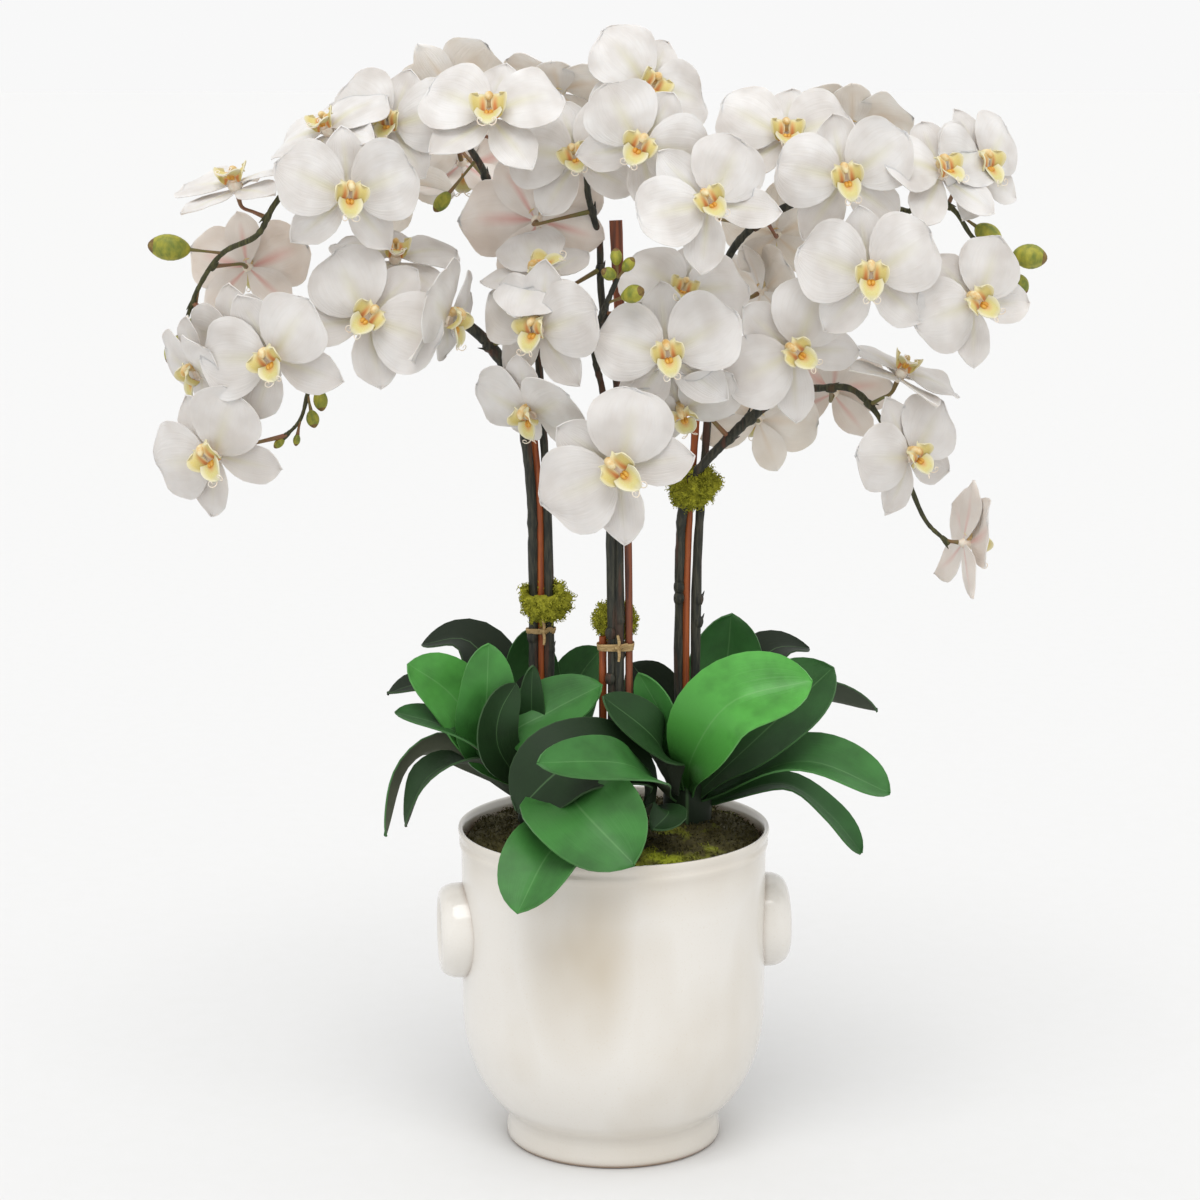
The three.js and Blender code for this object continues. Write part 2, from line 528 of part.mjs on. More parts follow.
const rosettes = {
  rosette_left: {
    crown: [-50.9, 8],
    leaves: [
      { rib: [[-59, 16, 250], [-102, 40, 350], [-137, 46, 347]], wide: 48, faces: [0, -0.35, 1] },
      {
        rib: [[-63, 0, 250], [-88, -14, 289], [-115, -26, 329], [-142, -32, 350]],
        wide: 50,
        faces: [0.35, -0.8, 0.5],
      },
      {
        rib: [[-60, -5, 252], [-89, -30, 294], [-87, -42, 334], [-86, -36, 365]],
        wide: 40,
        faces: [0.15, -1, 0.15],
      },
      {
        rib: [[-57, -8, 250], [-80, -46, 296], [-78, -55, 321], [-67, -48, 340]],
        wide: 30,
        faces: [0.3, -1, 0.1],
      },
      { rib: [[-54, -5, 252], [-57, -30, 324], [-56, -28, 348]], wide: 18, faces: [0.1, -1, 0] },
      { rib: [[-62, 10, 250], [-132, 12, 324], [-159, 8, 320]], wide: 32, faces: [0.2, -0.3, 1] },
      { rib: [[-62, 3, 246], [-109, -38, 303], [-150, -46, 319]], wide: 38, faces: [0.2, -0.3, 0.9] },
      {
        rib: [[-62, 12, 244], [-122, 2, 282], [-144, -6, 271], [-160, -16, 223]],
        wide: 30,
        faces: [-0.7, 0.3, 0.6],
      },
      {
        rib: [[-61, -2, 242], [-103, -28, 279], [-128, -38, 271], [-144, -42, 237]],
        wide: 42,
        faces: [-0.35, -0.05, 0.95],
      },
      { rib: [[-53, 20, 250], [-58, 40, 330], [-60, 36, 361]], wide: 40, faces: [0, -1, 0.1] },
      { rib: [[-42, 17, 250], [-25, 48, 321], [-8, 50, 344]], wide: 40, faces: [-0.3, -1, 0.3] },
      {
        rib: [[-55, -7, 248], [-75, -34, 300], [-43, -28, 321], [-8, -28, 338]],
        wide: 44,
        faces: [-0.1, -0.75, 0.65],
      },
    ],
  },
  rosette_centre: {
    crown: [2, -21],
    leaves: [
      {
        rib: [[-3, -33, 246], [-18, -62, 298], [-47, -84, 298], [-70, -88, 271]],
        wide: 58,
        faces: [0, -0.6, 0.8],
      },
      { rib: [[-3, -34, 241], [-30, -98, 272], [13, -134, 237]], wide: 84, faces: [-0.1, -0.5, 0.9] },
      { rib: [[-5, -33, 238], [-39, -112, 248], [-64, -142, 205]], wide: 62, faces: [-0.2, -0.6, 0.8] },
      { rib: [[8, -33, 240], [37, -72, 255], [26, -84, 246]], wide: 26, faces: [0.3, -0.5, 0.8] },
    ],
  },
  rosette_right: {
    crown: [51.5, 8],
    leaves: [
      { rib: [[44, -4, 252], [26, -40, 303], [-8, -46, 330]], wide: 28, faces: [-0.1, -0.5, 0.85] },
      { rib: [[42, -4, 244], [2, -94, 299], [-49, -124, 305]], wide: 46, faces: [0, -0.7, 0.75] },
      { rib: [[48, -6, 254], [33, -26, 313], [17, -24, 342]], wide: 28, faces: [-0.6, -0.8, 0.1] },
      { rib: [[42, 16, 252], [28, 40, 311], [13, 44, 334]], wide: 44, faces: [-0.1, -0.8, 0.6] },
      { rib: [[58, 18, 252], [81, 52, 332], [84, 50, 369]], wide: 54, faces: [-0.1, -1, 0.1] },
      {
        rib: [[54, -5, 252], [54, -38, 285], [80, -52, 327], [135, -50, 342]],
        wide: 60,
        faces: [-0.2, -0.8, 0.6],
      },
      { rib: [[60, 0, 250], [101, -12, 293], [153, -8, 342]], wide: 66, faces: [-0.3, -0.6, 0.8] },
      { rib: [[61, 14, 252], [112, 50, 341], [141, 64, 341]], wide: 46, faces: [0, -0.3, 1] },
      { rib: [[63, 10, 248], [137, 30, 310], [188, 34, 302]], wide: 44, faces: [0, 0.5, 0.9] },
      { rib: [[61, 2, 244], [132, -30, 280], [190, -44, 261]], wide: 62, faces: [0.1, -0.3, 1] },
      {
        rib: [[63, 10, 239], [121, 12, 253], [153, 6, 232], [175, 0, 206]],
        wide: 32,
        faces: [0.35, -0.3, 0.85],
      },
    ],
  },
};

// Along the midrib, share of the full width
const LEAF_ROWS = [[0, 0.14], [0.2, 0.4], [0.5, 0.97], [0.84, 0.84]];
const LEAF_FOLD = 0.14;

function leaf({ rib, wide, faces }) {
  const curve = new THREE.CatmullRomCurve3(rib.map(vector), false, 'centripetal');
  const points = [];
  const normals = [];
  const row = (t, half) => {
    const middle = curve.getPointAt(t);
    const side = new THREE.Vector3().crossVectors(curve.getTangentAt(t), vector(faces)).normalize();
    const normal = new THREE.Vector3().crossVectors(side, curve.getTangentAt(t)).normalize();
    const edges = half > 0 ? [-1, 0, 1] : [0];
    for (const k of edges) {
      points.push(middle.clone().addScaledVector(side, k * half)
        .addScaledVector(normal, Math.abs(k) * half * LEAF_FOLD * 2));
      normals.push(normal);
    }
  };
  LEAF_ROWS.forEach(([t, share]) => row(t, (share * wide) / 2));
  row(1, 0);
  const triangles = [];
  for (let i = 0; i < LEAF_ROWS.length - 1; i += 1) {
    const a = 3 * i;
    triangles.push([a, a + 1, a + 4], [a, a + 4, a + 3], [a + 1, a + 2, a + 4], [a + 2, a + 5, a + 4]);
  }
  const last = 3 * (LEAF_ROWS.length - 1);
  const tip = last + 3;
  triangles.push([last, last + 1, tip], [last + 1, last + 2, tip]);
  const rim = [1];
  LEAF_ROWS.forEach((entry, i) => rim.push(3 * i + 2));
  rim.push(tip);
  LEAF_ROWS.forEach((entry, i) => rim.push(last - 3 * i));
  return blade(points, normals, triangles, rim, LEAF_THICKNESS);
}

function crownStub([x, y], extra = 0) {
  const r = CROWN_RADIUS + extra;
  return turned([
    [0, MIX_TOP + 0.8 - 2 * extra], [r, MIX_TOP + 0.8 - 2 * extra], [r, CROWN_TOP - 5],
    [r - 4, CROWN_TOP], [0, CROWN_TOP],
  ], 6).translate(x, y, 0);
}

for (const [name, { crown, leaves }] of Object.entries(rosettes)) {
  const whole = fused([crownStub(crown), ...leaves.map(leaf)]);
  place(name, cut(whole, slots), 'leaf');
}

// Potting mix and the moss that covers it

const FILL_RADIUS = inside - 0.5;
const mixProfile = [
  [0, FLOOR_HEIGHT + GAP], [69.7, FLOOR_HEIGHT + GAP], [91.5, 52.3], [FILL_RADIUS, 88.3],
  [FILL_RADIUS, MIX_TOP], [0, MIX_TOP],
];
const mossProfile = [
  [0, MIX_TOP + GAP], [FILL_RADIUS, MIX_TOP + GAP], [FILL_RADIUS, MOSS_EDGE],
  [88, MOSS_EDGE + 6], [52, MOSS_TOP - 3], [0, MOSS_TOP],
];
const crowns = Object.values(rosettes).map(({ crown }) => crownStub(crown, GAP));

place('potting_mix', cut(solidOf(turned(mixProfile, ROUND_SIDES)), slots), 'soil');
place('moss_bed', cut(solidOf(turned(mossProfile, ROUND_SIDES)), crowns), 'moss');

// Moss tufts and raffia on the columns

const tufts = {
  moss_tuft_left: { at: [-48, 5, 387], size: [20, 18, 17] },
  moss_tuft_centre: { at: [1, -8, 376], size: [17, 17, 15] },
  moss_tuft_right: { at: [55.5, 3, 467], size: [19, 17, 16] },
};
const TUFT_LUMP = 0.14;

function tuft({ at, size }) {
  const ball = mergeVertices(
    new THREE.IcosahedronGeometry(1, 1).deleteAttribute('normal').deleteAttribute('uv'),
  );
  const position = ball.getAttribute('position');
  for (let i = 0; i < position.count; i += 1) {
    const p = new THREE.Vector3().fromBufferAttribute(position, i);
    const lump = 1 + TUFT_LUMP * Math.sin(9 * p.x + at[0]) * Math.cos(8 * p.y - 7 * p.z);
    position.setXYZ(i, p.x * lump * size[0], p.y * lump * size[1], p.z * lump * size[2]);
  }
  return ball.translate(...at);
}

const ties = {
  raffia_tie_centre: { column: 'centre', low: 357, high: 363 },
  raffia_tie_left: { column: 'left', low: 363, high: 368 },
};
const RAFFIA = 1.2;

for (const [name, { column, low, high }] of Object.entries(ties)) {
  const outer = columnSlot(columns[column], low, high, RAFFIA);
  const inner = columnSlot(columns[column], low - 1, high + 1);
  place(name, cut(solidOf(outer), [inner]), 'raffia');
}

const clearOfTies = Object.values(ties)
  .map(({ column, low, high }) => columnSlot(columns[column], low - GAP, high + GAP, RAFFIA + GAP));
for (const [name, tuftSizes] of Object.entries(tufts)) {
  place(name, cut(solidOf(tuft(tuftSizes)), [...slots, ...clearOfTies]), 'tuft');
}

export default orchid;
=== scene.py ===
"""Potted moth orchid: three plants with six arching flower spikes, in a glazed and footed ceramic pot.

Shapes are worked out in millimetres in the part's own frame (+Z up, front towards -Y) and put() brings them to metres.
"""

import math
import random
from functools import partial

import bpy
from mathutils import Matrix, Vector, noise


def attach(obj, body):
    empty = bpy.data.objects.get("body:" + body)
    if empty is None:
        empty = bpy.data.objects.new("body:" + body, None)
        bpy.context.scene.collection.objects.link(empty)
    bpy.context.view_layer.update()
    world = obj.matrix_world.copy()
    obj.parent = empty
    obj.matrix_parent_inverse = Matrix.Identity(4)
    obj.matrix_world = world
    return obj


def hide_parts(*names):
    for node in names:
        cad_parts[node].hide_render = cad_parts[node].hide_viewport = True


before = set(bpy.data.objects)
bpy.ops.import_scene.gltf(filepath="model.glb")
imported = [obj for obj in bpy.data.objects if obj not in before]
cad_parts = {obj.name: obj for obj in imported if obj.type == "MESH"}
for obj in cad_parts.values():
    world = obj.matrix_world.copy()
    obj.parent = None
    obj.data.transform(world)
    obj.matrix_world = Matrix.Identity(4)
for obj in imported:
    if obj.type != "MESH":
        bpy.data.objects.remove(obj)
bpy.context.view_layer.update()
bpy.ops.object.select_all(action="DESELECT")
chance = random.Random(11)

# ---------------------------------------------------------------- finishes


def colour(text):
    """An sRGB hex colour as linear RGBA."""
    parts = [int(text[i:i + 2], 16) / 255 for i in (1, 3, 5)]
    return [c / 12.92 if c <= 0.04045 else ((c + 0.055) / 1.055) ** 2.4 for c in parts] + [1]


def add_node(tree, kind, inputs=(), gives=0, **settings):
    """Adds one shader node with its settings and links, and returns the output that is asked for.

    Inputs stand in the order of the sockets, or go by socket; each is a plain value or another node's output.
    """
    made = tree.nodes.new("ShaderNode" + kind)
    for key, value in settings.items():
        setattr(made, key, value)
    for socket, value in inputs.items() if isinstance(inputs, dict) else enumerate(inputs):
        if isinstance(value, bpy.types.NodeSocket):
            tree.links.new(value, made.inputs[socket])
        else:
            made.inputs[socket].default_value = value
    return made.outputs[gives]


def finish(name, **plain):
    """A material whose plain values are set on its shader's own sockets.

    With it come a function that adds nodes to it and one that links outputs to the shader's sockets.
    """
    material = bpy.data.materials.new(name)
    material.use_nodes = True
    tree = material.node_tree
    sockets = tree.nodes["Principled BSDF"].inputs
    for socket, value in plain.items():
        sockets[socket.replace("_", " ")].default_value = value

    def lay(**sources):
        for socket, source in sources.items():
            tree.links.new(source, sockets[socket.replace("_", " ")])

    return material, partial(add_node, tree), lay


MIX = {"gives": 2, "data_type": "RGBA"}
SHARE, LOW, HIGH = 0, 6, 7


def petal_finish(name, *colours):
    """Pressed silk cloth that lets light through: nearly matt white, ribs that fan out from the claw, soft clouds."""
    material, add, lay = finish(name, Roughness=0.62, Sheen_Weight=0.1, Sheen_Roughness=0.5, Subsurface_Weight=0.6,
                                Subsurface_Radius=(0.0012, 0.0011, 0.001), Subsurface_Scale=1.0)
    pale, deep, flush = map(colour, colours)
    uv, place = add("UVMap", uv_map="UVMap"), add("TexCoord", gives="Object")
    # A petal is about 50 mm wide with a rib every 2 mm or so
    fan = add("Mapping", {"Vector": uv, "Scale": (26, 1.6, 1)})
    ribs = add("TexNoise", {"Vector": fan, "Scale": 1.0, "Detail": 3, "Roughness": 0.6})
    clouds = add("TexNoise", {"Vector": place, "Scale": 45, "Detail": 2})
    shade = add("Mix", {SHARE: add("MapRange", [clouds, 0.35, 0.7]), LOW: pale, HIGH: deep}, **MIX)
    ribbed = add("Mix", {SHARE: add("MapRange", [ribs, 0.5, 0.75, 0, 0.35]), LOW: shade, HIGH: deep}, **MIX)
    # The flush runs along the middle, strongest at the claw
    off_middle = add("Math", [add("SeparateXYZ", [uv]), 0.5], operation="SUBTRACT")
    near_middle = add("MapRange", [add("Math", [off_middle], operation="ABSOLUTE"), 0, 0.12, 1, 0])
    near_claw = add("MapRange", [add("SeparateXYZ", [uv], 1), 0.02, 0.62, 1, 0])
    share = add("Math", [near_middle, near_claw], operation="MULTIPLY")
    flushed = add("Mix", {SHARE: share, LOW: ribbed, HIGH: flush}, **MIX)
    # Painted shade: flowers low on the plant are painted towards the deep colour, standing in for the light from above
    # reaching them less
    low = add("MapRange", [add("SeparateXYZ", [place], 2), 0.72, 0.48, 0, 0.4])
    lay(Base_Color=add("Mix", {SHARE: low, LOW: flushed, HIGH: deep}, **MIX),
        Normal=add("Bump", {"Height": ribs, "Strength": 0.45, "Distance": 0.0009}))
    return material


PETAL_FACE = petal_finish("petal_silk_face", "#dfdddb", "#c9c4bf", "#d2cfb6")
# The back is duller and beige, but painted paler than the face to stand in for light shining through the petal; on
# some flowers a rose flush runs along the rib
PETAL_BACK = petal_finish("petal_silk_back", "#f0ece7", "#ddd5cb", "#dccdba")
PETAL_ROSE = petal_finish("petal_silk_rose_back", "#ebe5e0", "#d8cec5", "#d79a92")


def lip_finish(name, body, edge, streak, middle, reach):
    """Dyed cloth of the lip: lemon, paler to the edges, with a red-orange streak that fades out of the throat."""
    material, add, lay = finish(name, Roughness=0.55, Sheen_Weight=0.1)
    uv = add("UVMap", uv_map="UVMap")
    across, along = add("SeparateXYZ", [uv]), add("SeparateXYZ", [uv], 1)

    def off(place):
        return add("Math", [add("Math", [across, place], operation="SUBTRACT")], operation="ABSOLUTE")

    blots = add("TexNoise", {"Vector": add("Mapping", {"Vector": uv, "Scale": (7, 4, 1)}), "Detail": 2})
    side, tip = add("MapRange", [off(0.5), 0.28, 0.5]), add("MapRange", [along, 0.66, 0.98])
    pale = add("Math", [side, tip], operation="MAXIMUM")
    pale = add("Math", [pale, add("MapRange", [blots, 0.5, 0.7, 0, 0.5])], operation="MAXIMUM")
    lemon = add("Mix", {SHARE: pale, LOW: colour(body), HIGH: colour(edge)}, **MIX)
    near = add("MapRange", [off(middle), 0, 0.26, 1.4, 0])
    fade = add("MapRange", [along, 0.3 * reach, reach, 1, 0])
    share = add("Math", [near, fade], operation="MULTIPLY", use_clamp=True)
    lay(Base_Color=add("Mix", {SHARE: share, LOW: lemon, HIGH: colour(streak)}, **MIX))
    return material


def mottled(name, low, high, scale, stretch=(1, 1, 1), bump=0.0, depth=0.0005, span=(0.35, 0.65), **plain):
    """A finish of two colours in a noise of the given scale (cells a metre), with its own relief."""
    material, add, lay = finish(name, **plain)
    spread = add("Mapping", {"Vector": add("TexCoord", gives="Object"), "Scale": stretch})
    grain = add("TexNoise", {"Vector": spread, "Scale": scale, "Detail": 5, "Roughness": 0.6})
    share = add("MapRange", [grain, *span])
    lay(Base_Color=add("Mix", {SHARE: share, LOW: colour(low), HIGH: colour(high)}, **MIX),
        Normal=add("Bump", {"Height": grain, "Strength": bump, "Distance": depth}))
    return material


# The ears carry the streak along the edge that faces the column; the tongue is only warm at its root
EAR = lip_finish("lip_ear_cloth", "#d3c273", "#ddd6b2", "#cd8246", 0.24, 0.9)
TONGUE = lip_finish("lip_tongue_cloth", "#d1c67e", "#dedabf", "#cf9650", 0.5, 0.55)
# Waxed callus, deep orange with yellower tops
CALLUS = mottled("callus_wax", "#cf8426", "#deb04a", 400, Roughness=0.4)
# White neck and tendrils; the column in the throat is cream with golden folds
COLUMN = mottled("column_white", "#efe9da", "#e6d3bf", 260, Roughness=0.5)
THROAT = mottled("column_cream", "#e8dcb2", "#d3a65c", 200, Roughness=0.5)
# Flower stalks: moulded plastic, olive turning reddish brown in stretches of 30 mm
STALK = mottled("stalk_olive_brown", "#6a6a35", "#86543c", 40, bump=0.2, Roughness=0.5)
# Buds: green-yellow cloth with darker folds and a dry brown tip
BUD = mottled("bud_green", "#a8a234", "#6a7628", 200, (1, 1, 0.5), 0.4, Roughness=0.6)
BUD_TIP = mottled("bud_tip_brown", "#5c3c1e", "#86702e", 300, Roughness=0.6)
# Bamboo stake: orange-brown skin with long dark fibres; the centre one is darker
BAMBOO = {"scale": 420, "stretch": (1, 1, 0.05), "bump": 0.4}
STAKE = mottled("stake_bamboo", "#a9561f", "#6e2c14", span=(0.38, 0.7), Roughness=0.55, **BAMBOO)
STAKE_DARK = mottled("stake_bamboo_darker", "#8c4a2a", "#45261a", span=(0.36, 0.68), Roughness=0.6, **BAMBOO)
# Raffia: dry straw with pale fibres along its length
RAFFIA = mottled("raffia_straw", "#c6aa79", "#9c7e50", 900, (0.25, 0.25, 1), 0.5, Roughness=0.8)
# Dried moss: dull olive to yellow-green, no gloss at all
TUFT = mottled("moss_reindeer", "#b6b433", "#7b7c19", 260, bump=0.6, depth=0.001, Roughness=0.95)
POTTING_MIX = mottled("potting_bark", "#3b2f24", "#241b14", 180, bump=0.8, depth=0.002, Roughness=0.95)


def stem_finish():
    """Stem wrap: near-black bark with lengthwise ridges and rust-brown strips, turning to smooth olive far out."""
    material, add, lay = finish("stem_wrap_bark", Roughness=0.66)
    place = add("TexCoord", gives="Object")
    tall = add("Mapping", {"Vector": place, "Scale": (1, 1, 0.12)})
    # Ridges about 1 mm apart, strips about 5 mm wide
    ridges = add("TexNoise", {"Vector": tall, "Scale": 560, "Detail": 4, "Roughness": 0.6})
    strips = add("TexNoise", {"Vector": tall, "Scale": 150, "Detail": 1})
    ridge = add("MapRange", [ridges, 0.42, 0.7])
    strip = add("MapRange", [strips, 0.56, 0.68, 0, 0.75])
    bark = add("Mix", {SHARE: ridge, LOW: colour("#1e211a"), HIGH: colour("#474537")}, **MIX)
    rusty = add("Mix", {SHARE: strip, LOW: bark, HIGH: colour("#53301f")}, **MIX)
    olive = add("Mix", {SHARE: ridge, LOW: colour("#34351d"), HIGH: colour("#5a592f")}, **MIX)
    out = add("Math", [add("SeparateXYZ", [place])], operation="ABSOLUTE")
    lay(Base_Color=add("Mix", {SHARE: add("MapRange", [out, 0.12, 0.2]), LOW: rusty, HIGH: olive}, **MIX),
        Normal=add("Bump", {"Height": ridges, "Strength": 0.7, "Distance": 0.0009}))
    return material


def moss_finish():
    """Sheet moss: near-black olive with yellow-green patches that lie mostly along the front edge."""
    material, add, lay = finish("moss_sheet", Roughness=0.95)
    place = add("TexCoord", gives="Object")
    fine = add("TexNoise", {"Vector": place, "Scale": 320, "Detail": 4})
    patches = add("TexNoise", {"Vector": place, "Scale": 26, "Detail": 3})
    forward = add("MapRange", [add("SeparateXYZ", [place], 1), -0.03, -0.085, 0, 0.22])
    both = add("Math", [patches, forward], operation="ADD")
    dull = add("Mix", {SHARE: fine, LOW: colour("#1a150b"), HIGH: colour("#5b5422")}, **MIX)
    share = add("MapRange", [both, 0.62, 0.74])
    lay(Base_Color=add("Mix", {SHARE: share, LOW: dull, HIGH: colour("#98a022")}, **MIX),
        Normal=add("Bump", {"Height": fine, "Strength": 0.8, "Distance": 0.002}))
    return material


def leaf_finish(name, dark, mid, bright, rib, gloss):
    """Moulded leaf with a leathery skin: lengthwise veins 1.5 mm apart, a paler edge and a creased midrib."""
    material, add, lay = finish(name, Specular_IOR_Level=0.28)
    uv, place = add("UVMap", uv_map="UVMap"), add("TexCoord", gives="Object")
    # The attribute holds each leaf's painted light: 0 gives the painted-shade dark green, 0.5 the mid green, 1 the
    # painted-lit bright green
    painted_light = add("Attribute", gives="Fac", attribute_name="painted_light")
    shaded = add("Mix", {SHARE: add("MapRange", [painted_light, 0, 0.5]), LOW: colour(dark), HIGH: colour(mid)}, **MIX)
    lit_and_shaded = add("Mix", {SHARE: add("MapRange", [painted_light, 0.5]), LOW: shaded, HIGH: colour(bright)}, **MIX)
    veins = add("TexNoise", {"Vector": add("Mapping", {"Vector": uv, "Scale": (34, 1.4, 1)}), "Scale": 1.0,
                             "Detail": 3})
    clouds = add("TexNoise", {"Vector": place, "Scale": 40, "Detail": 3})
    blotch = add("MapRange", [clouds, 0.4, 0.75, 0, 0.45])
    # Painted shade: towards the crown each leaf is painted nearer its dark green, where the leaves around it shade its
    # base
    root = add("MapRange", [add("SeparateXYZ", [uv], 1), 0.12, 0.55, 0.7, 0])
    blotch_and_crown_shade = add("Math", [blotch, root], operation="MAXIMUM")
    clouded_and_shaded = add("Mix", {SHARE: blotch_and_crown_shade, LOW: lit_and_shaded, HIGH: colour(dark)}, **MIX)
    off_middle = add("Math", [add("SeparateXYZ", [uv]), 0.5], operation="SUBTRACT")
    off = add("Math", [off_middle], operation="ABSOLUTE")
    middle, edge = add("MapRange", [off, 0.004, 0.016, 0.2, 0]), add("MapRange", [off, 0.488, 0.499, 0, 0.1])
    lines = add("Math", [middle, edge], operation="ADD")
    # Leaves painted bright as lit shine more; those painted dark as shade are duller
    lay(Base_Color=add("Mix", {SHARE: lines, LOW: clouded_and_shaded, HIGH: colour(rib)}, **MIX),
        Normal=add("Bump", {"Height": veins, "Strength": 0.22, "Distance": 0.0008}),
        Roughness=add("MapRange", [painted_light, 0, 1, gloss + 0.26, gloss - 0.02]))
    return material


def glaze_finish():
    """Glazed earthenware: warm ivory under a clear gloss, with tan clouds where the glaze pooled, and painted shade in
    the crevices.
    """
    material, add, lay = finish("ceramic_ivory_glaze", Roughness=0.2, Coat_Weight=0.5, Coat_Roughness=0.05)
    place = add("TexCoord", gives="Object")
    tall = add("Mapping", {"Vector": place, "Scale": (1, 1, 0.55)})
    clouds = add("TexNoise", {"Vector": tall, "Scale": 9, "Detail": 3, "Roughness": 0.55})
    speckle = add("TexNoise", {"Vector": place, "Scale": 900, "Detail": 1})
    cloudy = add("MapRange", [clouds, 0.5, 0.75, 0, 0.28])
    # The broadest cloud runs down the front, left of the middle; others lie under the bead and along the foot
    down = add("Mapping", {"Vector": place, "Location": (0.7, 2.6, -2.4), "Scale": (28, 24, 15)})
    reach = add("VectorMath", [down], "Value", operation="LENGTH")
    height = add("SeparateXYZ", [place], 2)
    bead, foot = add("MapRange", [height, 0.185, 0.212, 0, 0.35]), add("MapRange", [height, 0.034, 0.02, 0, 0.2])
    pool = add("Math", [add("MapRange", [reach, 1.3, 0.1, 0, 0.9]), add("Math", [bead, foot])])
    broken = add("MapRange", [clouds, 0.3, 0.62, 0.15])
    tan = add("Math", [cloudy, add("Math", [pool, broken], operation="MULTIPLY")], operation="MAXIMUM")
    base = add("Mix", {SHARE: tan, LOW: colour("#e3dfd8"), HIGH: colour("#b09b74")}, **MIX)
    dots = add("MapRange", [speckle, 0.62, 0.8, 0, 0.25])
    dotted = add("Mix", {SHARE: dots, LOW: base, HIGH: colour("#cdbb9f")}, **MIX)
    # Painted shade: an occlusion reading turns the glaze brown in crevices, such as where the lugs meet the wall
    hollow = add("AmbientOcclusion", {"Distance": 0.008}, "AO", samples=8)
    painted_crevice_shade = add("MapRange", [hollow, 0.25, 0.8, 0.85, 0])
    lay(Base_Color=add("Mix", {SHARE: painted_crevice_shade, LOW: dotted, HIGH: colour("#8a6a48")}, **MIX),
        Normal=add("Bump", {"Height": clouds, "Strength": 0.12, "Distance": 0.004}))
    return material


STEM, MOSS, GLAZE = stem_finish(), moss_finish(), glaze_finish()
# Leaf greens run from painted shade through mid to painted light, then the rib colour and the gloss
LEAF_TOP = leaf_finish("leaf_top", "#14230f", "#386e34", "#58aa48", "#86b878", 0.34)
LEAF_BACK = leaf_finish("leaf_underside", "#3d463a", "#686d58", "#7d826a", "#8a8e74", 0.6)

# ---------------------------------------------------------------- ways of shaping


def smooth_line(points, steps):
    """A smooth line through rows of numbers whose first three are a place, with the same number of steps in each span."""
    rows = [Vector(p) for p in points]
    rows = [2 * rows[0] - rows[1]] + rows + [2 * rows[-1] - rows[-2]]
    line = []
    for before, start, end, after in zip(rows, rows[1:], rows[2:], rows[3:]):
        gaps = [max((b.to_3d() - a.to_3d()).length, 1e-4) ** 0.5
                for a, b in ((before, start), (start, end), (end, after))]
        out = ((start - before) / gaps[0] - (end - before) / (gaps[0] + gaps[1]) + (end - start) / gaps[1]) * gaps[1]
        into = ((end - start) / gaps[1] - (after - start) / (gaps[1] + gaps[2]) + (after - end) / gaps[2]) * gaps[1]
        for i in range(steps):
            t = i / steps
            line.append(start * (2 * t ** 3 - 3 * t ** 2 + 1) + out * (t ** 3 - 2 * t ** 2 + t)
                        + end * (3 * t ** 2 - 2 * t ** 3) + into * (t ** 3 - t ** 2))
    return line + [rows[-2]]


def reading(table, where):
    """The value of a table of (place, value) pairs at a place, eased between its entries."""
    for (a, low), (b, high) in zip(table, table[1:]):
        if where <= b:
            return low + (high - low) * (where - a) / (b - a)
    return table[-1][1]


def eased(table, count=60):
    """A table of (place, value) pairs rounded off into many small steps."""
    line = smooth_line([(a, b, 0) for a, b in table], count // (len(table) - 1))
    return [(p.x, p.y) for p in line]


# Edges that turn by less than this are shaded round
ROUNDED = math.radians(60)
UP = Vector((0, 0, 1))


def chosen(*pieces):
    """Selects these pieces alone, with the first one active."""
    bpy.ops.object.select_all(action="DESELECT")
    for piece in pieces:
        piece.select_set(True)
    bpy.context.view_layer.objects.active = pieces[0]


def closed_up(piece, near=0.02):
    """Merges corners that meet and turns every face outwards."""
    chosen(piece)
    bpy.ops.object.mode_set(mode="EDIT")
    bpy.ops.mesh.select_all(action="SELECT")
    bpy.ops.mesh.remove_doubles(threshold=near)
    bpy.ops.mesh.normals_make_consistent(inside=False)
    bpy.ops.object.mode_set(mode="OBJECT")


def blade(columns, rows, shape, thick, face, back):
    """A thin closed blade from a grid; shape() places a point from its share across (-1 to 1) and along (0 to 1)."""
    bpy.ops.mesh.primitive_grid_add(x_subdivisions=columns, y_subdivisions=rows, size=2)
    piece = bpy.context.object
    for corner in piece.data.vertices:
        corner.co = shape(corner.co.x, 0.5 + corner.co.y / 2)
    bpy.ops.object.mode_set(mode="EDIT")
    bpy.ops.mesh.remove_doubles(threshold=0.03)
    bpy.ops.object.mode_set(mode="OBJECT")
    piece.data.materials.append(face)
    piece.data.materials.append(back)
    bpy.ops.object.modifier_add(type="SOLIDIFY")
    wall = piece.modifiers[-1]
    wall.thickness, wall.offset, wall.material_offset = thick, 0, 1
    bpy.ops.object.modifier_apply(modifier=wall.name)
    bpy.ops.object.shade_smooth_by_angle(angle=ROUNDED)
    return piece


